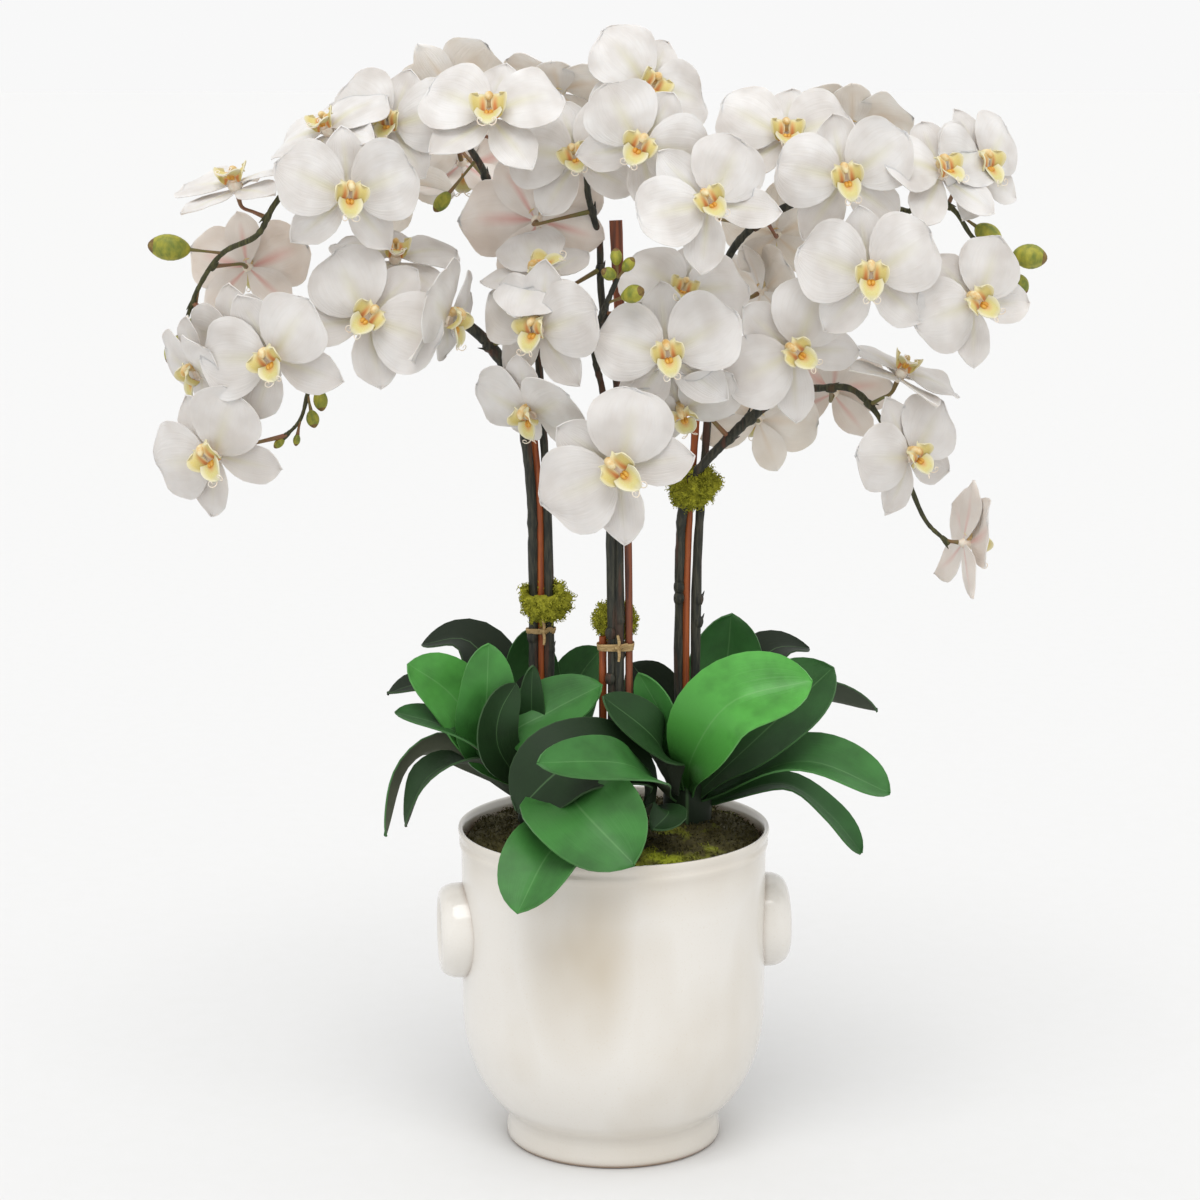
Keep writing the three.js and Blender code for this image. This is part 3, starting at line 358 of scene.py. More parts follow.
def swept(line, material, radii, **profile):
    """A curve with the given profile along a line of places, made into a closed mesh."""
    curve = bpy.data.curves.new("curve", "CURVE")
    curve.dimensions, curve.use_fill_caps = "3D", True
    for key, value in profile.items():
        setattr(curve, key, value)
    spline = curve.splines.new("POLY")
    spline.points.add(len(line) - 1)
    for point, row, radius in zip(spline.points, line, radii):
        point.co = (*row[:3], 1)
        point.radius = radius
    piece = bpy.data.objects.new("curve", curve)
    bpy.context.collection.objects.link(piece)
    chosen(piece)
    bpy.ops.object.convert(target="MESH")
    piece = bpy.context.object
    piece.data.materials.clear()
    piece.data.materials.append(material)
    closed_up(piece, 0.001)
    return piece


def rod(route, material, roundness=2, steps=4, lump=0.0, seed=0.0):
    """A round rod along a smooth line through [x, y, z, radius] points, closed at both ends."""
    line = smooth_line(route, steps)
    radii = [row[3] * (1 + lump * noise.noise(Vector((seed, i * 0.9, 0)))) for i, row in enumerate(line)]
    piece = swept(line, material, radii, bevel_depth=1, bevel_resolution=roundness)
    bpy.ops.object.shade_smooth_by_angle(angle=ROUNDED)
    return piece


def copied(piece, matrix):
    """A copy with a mesh of its own, moved by a matrix."""
    twin = piece.copy()
    twin.data = piece.data.copy()
    bpy.context.collection.objects.link(twin)
    twin.data.transform(matrix)
    return twin


def joined(pieces):
    """Makes one object of several."""
    chosen(*pieces)
    if len(pieces) > 1:
        bpy.ops.object.join()
    return pieces[0]


def put(piece, name, slot, *nodes):
    """Brings a finished piece from millimetres to metres and sets it on the plant."""
    piece.name = piece.data.name = name
    piece.data.transform(Matrix.Scale(0.001, 4))
    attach(piece, "root")
    if nodes:
        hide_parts(*nodes)
    return piece


def drop(*pieces):
    """Takes away patterns once they have been copied."""
    for piece in pieces:
        bpy.data.objects.remove(piece, do_unlink=True)


# ---------------------------------------------------------------- pot


def drawn_up(outline, sides):
    """A round body drawn up ring by ring along an outline of (radius, height), closed at both ends."""
    bpy.ops.mesh.primitive_circle_add(vertices=sides, radius=outline[0][0], fill_type="NGON",
                                      location=(0, 0, outline[0][1]))
    body = bpy.context.object
    body.data.transform(body.matrix_basis)
    body.matrix_basis = Matrix()
    bpy.ops.object.mode_set(mode="EDIT")
    bpy.ops.mesh.select_all(action="SELECT")
    for (radius, height), (wide, high) in zip(outline, outline[1:]):
        bpy.ops.mesh.extrude_region_move(TRANSFORM_OT_translate={"value": (0, 0, high - height)})
        bpy.ops.transform.resize(value=(wide / radius, wide / radius, 1))
    bpy.ops.object.mode_set(mode="OBJECT")
    return body


def pot():
    """The pot is drawn up from its underside, over the thin rim and down the inside to its floor."""
    outline = [(73, 0), (75.4, 0.8), (76.4, 3), (76.2, 8), (75.2, 14), (74.6, 18), (75.4, 21), (78.5, 24.5),
               (84, 29), (90, 36.4), (95, 45), (99.8, 55), (103.5, 67), (106.2, 80), (107.5, 95), (107.6, 150),
               (107.4, 205), (107.5, 211), (108.3, 213.6), (109, 216.4), (108.9, 218.2), (108.2, 219.6), (108.7, 222),
               (109.8, 225.6), (109.3, 227.4), (108.2, 227.5), (106.4, 226.5), (105.4, 222), (104, 214), (103.5, 180),
               (103.5, 88), (92, 52), (70, 30)]
    body = drawn_up(outline, 128)
    body.data.materials.append(GLAZE)
    closed_up(body)
    whole = joined([body, lug(-1), lug(1)])
    bpy.ops.object.shade_smooth_by_angle(angle=math.radians(50))
    return put(whole, "pot_ceramic", "ceramic", "pot")


def lug(side):
    """A thick soft-edged ring standing against the wall, with a round recess in its outer face."""
    piece = drawn_up([(33.4, 99), (33.5, 110), (33.2, 114.5), (32, 118.4), (29.9, 121.6), (27.2, 123.5), (24.6, 123.9),
                      (22.6, 123), (21.2, 121.2), (20, 119.4), (18, 118.6), (9, 118.2)], 72)
    # The line through both lugs is turned a little about the pot's axis
    turn, height = math.radians(7), 154
    out = Vector((side * math.cos(turn), side * math.sin(turn), 0))
    stand = Matrix((UP.cross(out), UP, out)).transposed().to_4x4()
    stand.translation = (0, 0, height)
    piece.data.transform(stand)
    piece.data.materials.append(GLAZE)
    closed_up(piece)
    return piece


pot()

# ---------------------------------------------------------------- moss


def strand():
    """One curled thread of moss, unit long, drawn out from a three-sided foot."""
    bpy.ops.mesh.primitive_circle_add(vertices=3, radius=0.1, fill_type="NGON")
    piece = bpy.context.object
    bpy.ops.object.mode_set(mode="EDIT")
    bpy.ops.mesh.select_all(action="SELECT")
    for step, shrink in (((0.04, 0, 0.26), 1), ((0.18, 0.05, 0.22), 0.9), ((0.24, 0.14, 0), 0.8),
                         ((0.06, 0.16, -0.16), 0.5)):
        bpy.ops.mesh.extrude_region_move(TRANSFORM_OT_translate={"value": step})
        bpy.ops.transform.resize(value=(shrink, shrink, shrink))
    bpy.ops.object.mode_set(mode="OBJECT")
    closed_up(piece, 0.001)
    return piece


def threads(places, long, material):
    """Threads of moss on the given (place, way up) pairs, as one mesh."""
    pattern = strand()
    corners = [v.co.copy() for v in pattern.data.vertices]
    sides = [list(p.vertices) for p in pattern.data.polygons]
    points, faces = [], []
    for place, up in places:
        size = long * chance.uniform(0.6, 1.2)
        lean = Vector((chance.uniform(-1, 1), chance.uniform(-1, 1), chance.uniform(-1, 1))) * 0.8
        turn = (up + lean).normalized().to_track_quat("Z", "Y").to_matrix().to_4x4()
        turn = turn @ Matrix.Rotation(chance.uniform(0, 6.28), 4, "Z") @ Matrix.Scale(size, 4)
        start = len(points)
        points += [place + turn @ c for c in corners]
        faces += [[start + i for i in side] for side in sides]
    mesh = bpy.data.meshes.new("threads")
    mesh.from_pydata(points, [], faces)
    piece = bpy.data.objects.new("threads", mesh)
    bpy.context.collection.objects.link(piece)
    mesh.materials.append(material)
    drop(pattern)
    return piece


def moss_height(x, y):
    """The bed swells towards the three crowns and sinks just inside the rim."""
    r = math.hypot(x, y)
    dome = reading(((0, 231), (52, 228.5), (80, 226), (95, 222), (103, 218.5)), r)
    return dome + 3.6 * noise.noise(Vector((x, y, 0)) / 19) + 2.4 * noise.noise(Vector((x, y, 9)) / 7)


def moss_bed():
    """A cushion of sheet moss: rings drawn out over the potting mix, sunk and raised, with threads on top."""
    radius, low = 102.6, 203.4
    bed = drawn_up([(radius, low), (radius, low + 6)], 96)
    bpy.ops.object.mode_set(mode="EDIT")
    for _ in range(24):
        smaller = max(radius - 4.2, 1.5)
        bpy.ops.mesh.inset(thickness=radius - smaller)
        radius = smaller
    bpy.ops.object.mode_set(mode="OBJECT")
    for corner in bed.data.vertices:
        if corner.co.z > low + 1:
            corner.co.z = moss_height(corner.co.x, corner.co.y)
    bed.data.materials.append(MOSS)
    closed_up(bed)
    bpy.ops.object.shade_smooth_by_angle(angle=ROUNDED)
    places = []
    for _ in range(3600):
        r, turn = 101 * chance.random() ** 0.5, chance.uniform(0, 6.283)
        x, y = r * math.cos(turn), r * math.sin(turn)
        places.append((Vector((x, y, moss_height(x, y) - 0.6)), UP))
    return put(joined([bed, threads(places, 5.4, MOSS)]), "moss_bed_sheet", "moss", "moss_bed")


moss_bed()
for mix_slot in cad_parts["potting_mix"].material_slots:
    mix_slot.material = POTTING_MIX

# Middle, half sizes, the band across that stays behind the rods (from, to, how far back, above what height), slope
TUFTS = {
    "moss_tuft_left": ((-48, 5, 387), (20, 18, 17), (-61, -41, 9, 390), -0.05),
    "moss_tuft_centre": ((1, -8, 376), (17, 17, 15), (-11, 14, -15, 0), 0),
    "moss_tuft_right": ((55.5, 3, 467), (19, 17, 16), (0, 0, 0, 999), 0.22),
}


def tuft(name, at, size, behind, slope):
    """A loose ball of reindeer moss pushed round a column: a lumpy core covered in curled threads."""
    bpy.ops.mesh.primitive_ico_sphere_add(subdivisions=4, radius=1)
    core = bpy.context.object
    middle = Vector(at)
    places = []
    for corner in core.data.vertices:
        way = corner.co.normalized()
        lump = 0.76 + 0.2 * math.sin(9 * way.x + at[0]) * math.cos(8 * way.y - 7 * way.z)
        lump += 0.16 * noise.noise(way * 3 + middle) + 0.08 * noise.noise(way * 9 + middle)
        spot = middle + Vector((way.x * size[0], way.y * size[1], way.z * size[2])) * lump
        spot.z += slope * (spot.x - at[0])
        if behind[0] < spot.x < behind[1] and spot.z > behind[3]:
            spot.y = max(spot.y, behind[2])
        corner.co = spot
        # Three threads leave each spot
        places += [(spot.copy(), way)] * 3
    core.data.materials.append(TUFT)
    bpy.ops.object.shade_smooth()
    curls = threads(places, 4.0, TUFT)
    return put(joined([core, curls]), name + "_moss", "tuft", name)


for tuft_name, tuft_plan in TUFTS.items():
    tuft(tuft_name, *tuft_plan)

# ---------------------------------------------------------------- stakes


# How far right the middle of each column lies
COLUMN_MIDDLES = (-51, 1.2, 52.2)
# A column is bound up to this height, and only rods this near its middle are drawn in
BOUND_UP_TO, BOUND_WITHIN = 480, 12


def bound(route, middle):
    """A stem swells and leans in a little where it is bound into its column."""
    return [[x + 0.12 * (middle - x), y, z, r * 1.17] if z < BOUND_UP_TO and abs(x - middle) < BOUND_WITHIN
            else [x, y, z, r] for x, y, z, r in route]


STAKES = {
    "stake_left": [
        [-50.9, 8, 150, 2.5], [-50.9, 8, 410, 2.5], [-52, 8.8, 460, 2.6], [-57.5, 11.5, 522, 2.7], [-72.5, 15, 674, 3.6]],
    "stake_centre": [[9.9, -22, 150, 2.7], [9.9, -22, 421, 2.7], [6, -23, 531, 3], [1, -18, 652, 4.6]],
    "stake_centre_short": [[-7.6, -16.4, 150, 2.7], [-7.6, -16.4, 258, 2.7], [-7.6, -16.4, 366, 2.7]],
    "stake_right": [[51.5, 8, 150, 2.5], [51.5, 8, 422, 2.5], [56.5, 10.5, 510, 2.7], [63, 18, 628, 4.2]],
}
for stake_name, route in STAKES.items():
    put(rod(route, STAKE_DARK if stake_name == "stake_centre" else STAKE, roundness=4, steps=14, lump=0.12),
        stake_name + "_bamboo", "stake", stake_name)

# ---------------------------------------------------------------- blooms

# The stem as [x, y, z, radius] points; buds (middle, start, length, width); blooms (middle, facing, upper side, size)
SPIKES = {
    "spike_left_upper": ([
        [-45, 8, 150, 3], [-45, 8, 430, 2.8], [-49, 13, 506, 2.7], [-57, 22, 595, 2.6], [-72, 23, 642, 2.5],
        [-84, 13, 672, 2.5], [-93, 2, 692, 2.4], [-117, -14, 720, 2.4], [-137, -16, 704, 2.3],
        [-161, -14, 684, 2.2], [-191, -20, 675, 2.1], [-215, -30, 675, 2.1], [-227, -32, 663, 2],
        [-239, -28, 643, 2], [-264, -18, 630, 1.8], [-282, -10, 606, 1.6], [-294, -5, 577, 1.2]], [
        ([-300, -20, 634], [-264, -18, 630], 27, 18), ([-300, -5, 563], [-294, -5, 577], 20, 14),
        ([-287, -3, 580], [-282, -10, 606], 12, 8), ([-117, 4, 663], [-93, 2, 692], 16, 10)], {
        "left_01": ([-81, -62, 722], [-0.08, -0.75, 0.6], [0.05, 0, 1], 1.04),
        "left_02": ([-175, -70, 671], [0.3, -1, 0.05], [0.05, 0, 1], 0.98),
        "left_03": ([-190, -30, 711], [-0.45, -0.4, 0.8], [0.1, 1, 0.2], 0.92),
        "left_04": ([-254, -20, 674], [-0.25, -0.2, 0.94], [0.15, 1, 0.2], 0.92),
        "left_05": ([-148, -23, 714], [-0.3, -0.85, 0.35], [0.1, 0, 1], 0.95),
        "left_06": ([-111, 36, 735], [0.1, 1, 0.2], [-0.5, 0, 0.87], 0.85),
        "left_07": ([-146, 38, 679], [0.3, 1, 0], [-0.5, 0, 0.85], 0.9),
        "left_08": ([-105, 46, 686], [0.1, 0.7, -0.7], [0, 0.7, 0.7], 0.88),
        "left_13": ([-252, 22, 617], [0.15, 1, -0.25], [-0.1, 0, 1], 0.86),
        "left_14": ([-278, -42, 552], [-0.75, -0.45, -0.4], [0, 0, 1], 0.86),
        "left_16": ([-251, -52, 572], [-0.55, -0.8, -0.1], [-0.2, 0, 1], 0.85)}),
    "spike_left_lower": ([
        [-56.9, 8, 150, 3], [-56.9, 8, 410, 3], [-57.6, 7.6, 455, 3.1], [-61, 4.5, 500, 3.5], [-69, -4, 540, 3.8],
        [-85, -8, 567, 4], [-103, -10, 583, 3.8], [-125, -8, 594, 3], [-140, -4, 598, 2.4],
        [-167, 2, 596, 2.2], [-190, -8, 584, 2.1], [-203, -18, 561, 2], [-208, -24, 535, 1.6],
        [-213, -28, 518, 1.3], [-222, -32, 508, 1.2]], [
        ([-199, -26, 531], [-203, -18, 561], 14, 10), ([-204, -31, 519], [-208, -24, 535], 12, 9),
        ([-215, -33, 505], [-213, -28, 518], 8, 5), ([-227, -33, 503], [-222, -32, 508], 9, 6)], {
        "left_09": ([-148, -16, 625], [0.1, -0.45, 0.88], [0, 0.9, 0.4], 0.95),
        "left_10": ([-163, -62, 590], [0.05, -1, 0.2], [0.64, 0, 0.77], 1.02),
        "left_11": ([-113, -50, 588], [0.9, -0.35, -0.2], [0.1, 0, 1], 0.95),
        "left_12": ([-224, -84, 566], [-0.3, -1, -0.1], [-0.45, 0, 0.9], 1),
        "left_15": ([-266, -66, 499], [-0.4, -0.9, -0.1], [-0.64, 0, 0.77], 1),
        "centre_07": ([-49, -64, 583], [-0.55, -0.83, 0], [0.1, 0, 1], 0.98),
        "centre_09": ([-54, -52, 527], [-0.5, -0.6, -0.5], [0, 0, 1], 0.92)}),
    "spike_centre_front": ([
        [-2.2, -22.4, 150, 3], [-2.2, -22.4, 420, 2.8], [-6, -28, 504, 2.5], [-8, -34, 539, 2.3],
        [-13, -42, 562, 2.2], [-11, -58, 584, 2.1], [-5, -70, 601, 2], [2, -76, 618, 1.6]], [
        ([12, -82, 608], [-5, -70, 601], 17, 12), ([-4, -80, 621], [2, -76, 618], 11, 9),
        ([9, -79, 627], [2, -76, 618], 11, 8), ([1, -78, 632], [2, -76, 618], 11, 8)], {
        "centre_10": ([3, -98, 495], [0, -1, 0], [-0.78, 0, 0.62], 1.1),
        "centre_11": ([35, -72, 567], [0, -1, 0.1], [-0.17, 0, 0.98], 1.03)}),
    "spike_centre_upper": ([
        [3.9, -22, 150, 3], [3.9, -22, 410, 2.9], [2, -14.5, 503, 2.8], [2, -11, 541, 2.8], [-4, -5, 567, 2.7],
        [-9, 0, 604, 2.5], [-10, -4, 638, 2.4], [-14, -10, 654, 2.3], [-18, -16, 672, 2.2],
        [-17, -16, 698, 2.1], [-9, -4, 721, 2], [7, 6, 735, 1.8]], [], {
        "centre_01": ([22, 0, 738], [0.45, -0.8, 0.35], [0.5, 0, 0.87], 0.98),
        "centre_02": ([-25, -32, 693], [-0.15, -0.95, 0.3], [-0.25, 0, 0.97], 0.95),
        "centre_03": ([17, -60, 702], [-0.1, -1, 0.1], [0.55, 0, 0.83], 0.95),
        "centre_05": ([-52, -2, 651], [0.1, 1, 0.1], [-0.45, 0, 0.9], 1.05),
        "centre_06": ([-47, -42, 617], [-0.1, -0.55, 0.8], [-1, 0, 0.15], 0.9),
        "centre_08": ([-37, 34, 736], [0.3, 0.6, 0.7], [0, -0.5, 0.9], 0.88),
        "centre_12": ([45, -50, 604], [0.1, -0.8, 0.6], [0.25, 0.3, 0.9], 0.93)}),
    "spike_right_upper": ([
        [59, 8, 150, 3], [59, 8, 415, 2.9], [62.8, 9, 485, 2.8], [68, 14, 554, 2.8], [74, 11, 613, 2.7],
        [83, 4, 634, 2.7], [99, 0, 650, 2.6], [123, -2, 663, 2.5], [146, -2, 671, 2.3], [173, -8, 665, 2.2],
        [196, -14, 657, 2], [215, -18, 668, 1.9], [229, -20, 658, 1.7], [243, -20, 639, 1.5],
        [263, -20, 630, 1.2]], [
        ([252, -19, 642], [229, -20, 658], 20, 15), ([280, -22, 628], [263, -20, 630], 22, 17),
        ([275, -17, 609], [263, -20, 630], 14, 11)], {
        "centre_04": ([61, -84, 666], [0.05, -0.95, 0.3], [-0.64, 0, 0.77], 1),
        "right_01": ([114, -16, 706], [0.1, -0.8, 0.55], [0.1, 0, 1], 0.98),
        "right_02": ([152, -52, 681], [0.05, -1, 0.1], [-0.18, 0, 1], 0.98),
        "right_03": ([165, 50, 713], [0.2, 0.7, 0.7], [0, -0.6, 0.8], 0.9),
        "right_04": ([218, -31, 683], [0.35, -0.7, 0.55], [-0.2, 0.3, 0.9], 0.95),
        "right_05": ([247, -4, 687], [0.6, -0.7, 0.25], [-0.3, 0, 0.95], 0.9),
        "right_06": ([168, -68, 618], [0, -1, 0.1], [-0.1, 0, 1], 1),
        "right_07": ([239, -52, 600], [0.35, -0.9, 0.1], [-0.7, 0, 0.7], 0.93),
        "right_12": ([112, 26, 639], [0.1, 1, 0], [0, 0, 1], 0.76),
        "right_14": ([103, 24, 601], [0.75, 0.5, 0.3], [-0.2, 0, 1], 0.8)}),
    "spike_right_lower": ([
        [45.5, 8, 150, 3], [45.5, 8, 422, 3], [47, 4, 450, 3], [53, -1, 472, 3.2], [63, -4, 486, 3.2],
        [79, -7, 503, 3.4], [97, -8, 520, 3.4], [120, -6, 535, 2.8], [141, -4, 537, 2.5],
        [161, -6, 537, 2.3], [175, -8, 526, 2.1], [192, -12, 499, 1.9], [214, -16, 447, 1.5],
        [228, -16, 433, 1.3]], [], {
        "centre_13": ([45, -52, 529], [0.1, -0.7, -0.6], [-0.3, 0, 0.95], 0.86),
        "right_08": ([194, -22, 548], [0.4, -0.15, 0.9], [0.2, 1, 0.2], 0.92),
        "right_09": ([199, -42, 495], [0.55, -0.7, 0.05], [-0.5, 0, 0.85], 0.92),
        "right_10": ([242, -14, 431], [0.93, 0.25, -0.15], [0.15, 0, 0.98], 0.93),
        "right_11": ([153, 30, 530], [0.2, 0.9, 0.3], [0.2, 0, 1], 0.86),
        "right_13": ([120, -50, 567], [0.2, -0.95, 0], [-0.75, 0, 0.66], 1.02),
        "right_15": ([100, 24, 511], [0, 1, -0.1], [0.42, 0, 0.9], 0.85)}),
}
PRESSED_TOGETHER = (
    ("left_03", "left_05"), ("left_07", "left_08"), ("left_10", "left_11"), ("left_12", "left_14"),
    ("centre_06", "centre_07"), ("centre_11", "centre_13"), ("right_02", "right_04", "right_05"),
    ("right_12", "right_14"),
)
# Flowers whose backs are flushed with rose
ROSY = ("centre_05", "left_04", "left_08", "left_13", "right_11", "right_10")

# How long a petal is, how wide half of it is, and how far behind a flower's middle its neck ends, in mm
PETAL_LONG, PETAL_HALF, NECK = 48, 26, 6
# Half widths from claw to tip, in mm
PETAL_EDGE = eased(((0, 2.6), (0.06, 9.5), (0.16, 17), (0.3, 22.6), (0.45, 25.8), (0.58, 26.8), (0.72, 25),
                    (0.84, 20.4), (0.93, 13.6), (0.98, 7), (1, 0)))
SEPAL_EDGE = eased(((0, 2.2), (0.14, 7.4), (0.32, 12.2), (0.5, 14.4), (0.66, 14), (0.8, 11), (0.91, 6.6), (1, 0)))


def petal_shape(across, along):
    """A broad petal lying along +Y: domed, hollowed at the claw, with a softly ruffled edge."""
    share = math.sin(along * math.pi / 2)
    y = 3 + 45.6 * share
    x = across * reading(PETAL_EDGE, share)
    ruffle = 0.9 * math.sin(5.2 * along + 2.4 * across + 0.4) * abs(across) ** 3 * along
    z = 3.4 - (x / 26) ** 2 - 1.5 * share ** 2 + 1.5 * math.sin(math.pi * share) * (1 - (x / 27) ** 2) + ruffle
    z -= 1.1 * math.exp(-(x / 3.2) ** 2) * (1 - share)
    return Vector((x, y + 0.9 * math.sin(7 * across) * along ** 3, z))


def sepal_shape(across, along):
    """A narrower sepal lying along +Y: keeled along the middle, its edges a little forward, its tip bent back."""
    share = math.sin(along * math.pi / 2)
    y = 2 + 44.4 * share
    x = across * reading(SEPAL_EDGE, share)
    z = -1.8 - 2.2 * share ** 2 + 1.7 * abs(across) ** 1.6 * share + 0.5 * math.sin(6 * along + across * 2) * across ** 2
    return Vector((x, y, z))


EAR_EDGE = eased(((0, 2.6), (0.2, 4.4), (0.5, 5.1), (0.78, 4.6), (0.94, 2.8), (1, 0)))
TONGUE_EDGE = eased(((0, 7.2), (0.25, 8.2), (0.5, 7.4), (0.75, 5.2), (0.92, 3.2), (1, 1)))


def ear_shape(side):
    """A side lobe of the lip: an upright ear beside the column, scooped towards it, its outer edge forward."""
    def shape(across, along):
        x = 6 + 0.6 * along + across * reading(EAR_EDGE, along)
        y = -4.6 + 13.8 * along - 1.4 * across * along
        z = 5.5 + 7 * math.sin(2.5 * along) + 2.8 * across + 2.6 * across ** 2 - 1.2 * along
        return Vector((side * x, y, z))
    return shape


def tongue_shape(across, along):
    """The middle lobe: broad below the ears, narrowing downwards, with turned-up edges and a raised keel."""
    x = across * reading(TONGUE_EDGE, along)
    y = -3 - 12.2 * along + 1.8 * across ** 2 * (1 - along)
    z = 8 + 5.6 * math.sin(1.9 * along) + 3.4 * across ** 2 * (1 - 0.5 * along) + 0.9 * (1 - abs(across)) ** 2
    return Vector((x, y, z))


def flower_parts():
    """One petal, one sepal and the made-up middle, each modelled once in the flower's own axes."""
    petal = blade(14, 13, petal_shape, 0.7, PETAL_FACE, PETAL_BACK)
    sepal = blade(8, 11, sepal_shape, 0.7, PETAL_FACE, PETAL_BACK)
    middle = [blade(9, 8, ear_shape(side), 0.7, EAR, EAR) for side in (1, -1)]
    middle.append(blade(9, 9, tongue_shape, 0.8, TONGUE, TONGUE))
    # The column: a cream club that stands up between the ears
    middle.append(rod([[0, 4, -1, 4.2], [0, 6.4, 4, 3.4], [0, 7.8, 8, 2.9], [0, 7.0, 11.4, 2.8], [0, 4.6, 13.2, 2.1],
                       [0, 3.2, 13.6, 0.9]], THROAT, roundness=3, steps=2))
    for side in (-1, 1):
        middle.append(rod([[side * 0.8, -2.4, 7, 1.0], [side * 1.3, -3.4, 9.6, 1.5], [side * 1.1, -4.8, 11, 1.3],
                           [side * 0.7, -5.8, 11.4, 0.6]], CALLUS, roundness=2, steps=2))
        middle.append(rod([[side * 0.8, -14.4, 13.4, 0.5], [side * 2.4, -16.6, 15, 0.42], [side * 4.8, -16.8, 16.8, 0.38],
                           [side * 5.8, -14.6, 18, 0.34], [side * 4.4, -12.8, 18, 0.32],
                           [side * 3, -13.6, 17.4, 0.3], [side * 3.6, -15, 16.8, 0.28]],
                          COLUMN, roundness=0, steps=2))
    # The neck behind, where the petals sit on the stalk
    middle.append(rod([[0, 0, -6, 1.7], [0, 0, -4, 2.4], [0, 0, -2, 4], [0, 0, 1.5, 4.9], [0, 0, 4.6, 4.2]],
                      COLUMN, roundness=3, steps=2))
    return petal, sepal, joined(middle)


def set_at(at, faces, up, size):
    """The matrix from a flower's own axes to its place: +Z along its facing, +Y near its upper side."""
    front = Vector(faces).normalized()
    right = Vector(up).cross(front).normalized()
    place = (Matrix((right, front.cross(right), front)).transposed() * size).to_4x4()
    place.translation = at
    return place


def curled(piece, cup, curl, wave):
    """Cups a blade that lies along +Y, curls its tip back or forward and waves its edges, each time differently."""
    phase, sway = chance.uniform(0, 6.28), chance.uniform(-2.5, 2.5)
    for corner in piece.data.vertices:
        share, edge = max(corner.co.y, 0) / PETAL_LONG, abs(corner.co.x) / PETAL_HALF
        ripple = math.sin(phase + corner.co.y / 6.2 + (2.4 if corner.co.x > 0 else 0))
        fold = math.sin(phase * 1.7 + corner.co.x / 8 + corner.co.y / 15)
        fold += 3.4 * noise.noise(Vector((corner.co.x / 15, corner.co.y / 15, phase)))
        corner.co.z += share * (cup * edge ** 2 + wave * ripple * edge ** 1.6) + curl * share ** 3 + 0.6 * fold * share
        corner.co.x += sway * share ** 2
        corner.co.y += 1.3 * math.sin(phase + corner.co.x / 5) * share ** 4


def flower(parts, place):
    """One open flower: three sepals behind, two petals in front, the lip and column in the middle."""
    petal, sepal, middle = parts
    made = []
    # Degrees from the flower's right side; the petal on its left is the other one mirrored
    for pattern, angle in ((sepal, 90), (sepal, -44), (sepal, -136), (petal, 24), (petal, 156)):
        turn = Matrix.Rotation(math.radians(angle - 90 + chance.uniform(-4, 4)), 4, "Z")
        turn = turn @ Matrix.Rotation(math.radians(chance.uniform(-9, 9)), 4, "Y")
        mirrored = pattern is petal and angle > 90
        if mirrored:
            turn = turn @ Matrix.Scale(-1, 4, (1, 0, 0))
        # No two petals are cut quite alike
        copy = copied(pattern, Matrix.Diagonal((chance.uniform(0.95, 1.08), chance.uniform(0.96, 1.04), 1, 1)))
        curled(copy, chance.uniform(-3, 6.5), chance.uniform(-7, 3), chance.uniform(1, 3.8))
        copy.data.transform(turn)
        if mirrored:
            copy.data.flip_normals()
        made.append(copy)
    tilt = Matrix.Rotation(math.radians(chance.uniform(-8, 8)), 4, "Z")
    made.append(copied(middle, tilt @ Matrix.Diagonal((chance.uniform(0.9, 1.1), chance.uniform(0.9, 1.1), 1, 1))))
    whole = joined(made)
    whole.data.transform(place)
    return whole


def blooms():
    """Every open flower at its own place; those that press together are one piece, as their solids are."""
    parts = flower_parts()
    heads = {}
    for _, _, open_ones in SPIKES.values():
        for name, spot in open_ones.items():
            heads[name] = flower(parts, set_at(*spot))
            for number, material in enumerate(heads[name].data.materials):
                if material == PETAL_BACK and name in ROSY:
                    heads[name].data.materials[number] = PETAL_ROSE
    for group in PRESSED_TOGETHER:
        heads[group[0]] = joined([heads[name] for name in group])
        for name in group[1:]:
            del heads[name]
    for name, head in heads.items():
        put(head, f"bloom_{name}_silk", "petal", "bloom_" + name)
    drop(*parts)


blooms()

# ---------------------------------------------------------------- stems, stalks and buds


def nearest_on(route, place):
    """The point of a route's straight spans that is nearest to a place."""
    best = None
    for a, b in zip(route, route[1:]):
        a, b = Vector(a[:3]), Vector(b[:3])
        t = min(1, max(0, (place - a).dot(b - a) / (b - a).length_squared))
        point = a + (b - a) * t
        if best is None or (point - place).length < (best - place).length:
            best = point
    return best


def back_of(spot):
    """Where a stalk meets the back of a flower, and the way the flower faces."""
    at, faces, _, size = spot
    front = Vector(faces).normalized()
    return Vector(at) - front * NECK * size, front


def stalk(route, spot):
    """A flower's stalk leaves the stem at its nearest point and meets the back of the flower square on."""
    hub, front = back_of(spot)
    root = nearest_on(route, hub)
    reach = (root - hub).length
    bend = hub - front * 0.3 * reach
    far = reach > 24
    way = [root, root.lerp(bend, 0.55), bend, hub] if far else [root, root.lerp(hub, 0.5), hub]
    thick = [1.9, 1.3, 1.3, 1.8] if far else [1.9, 1.3, 1.8]
    return rod([[*p, r] for p, r in zip(way, thick)], STALK, roundness=1)


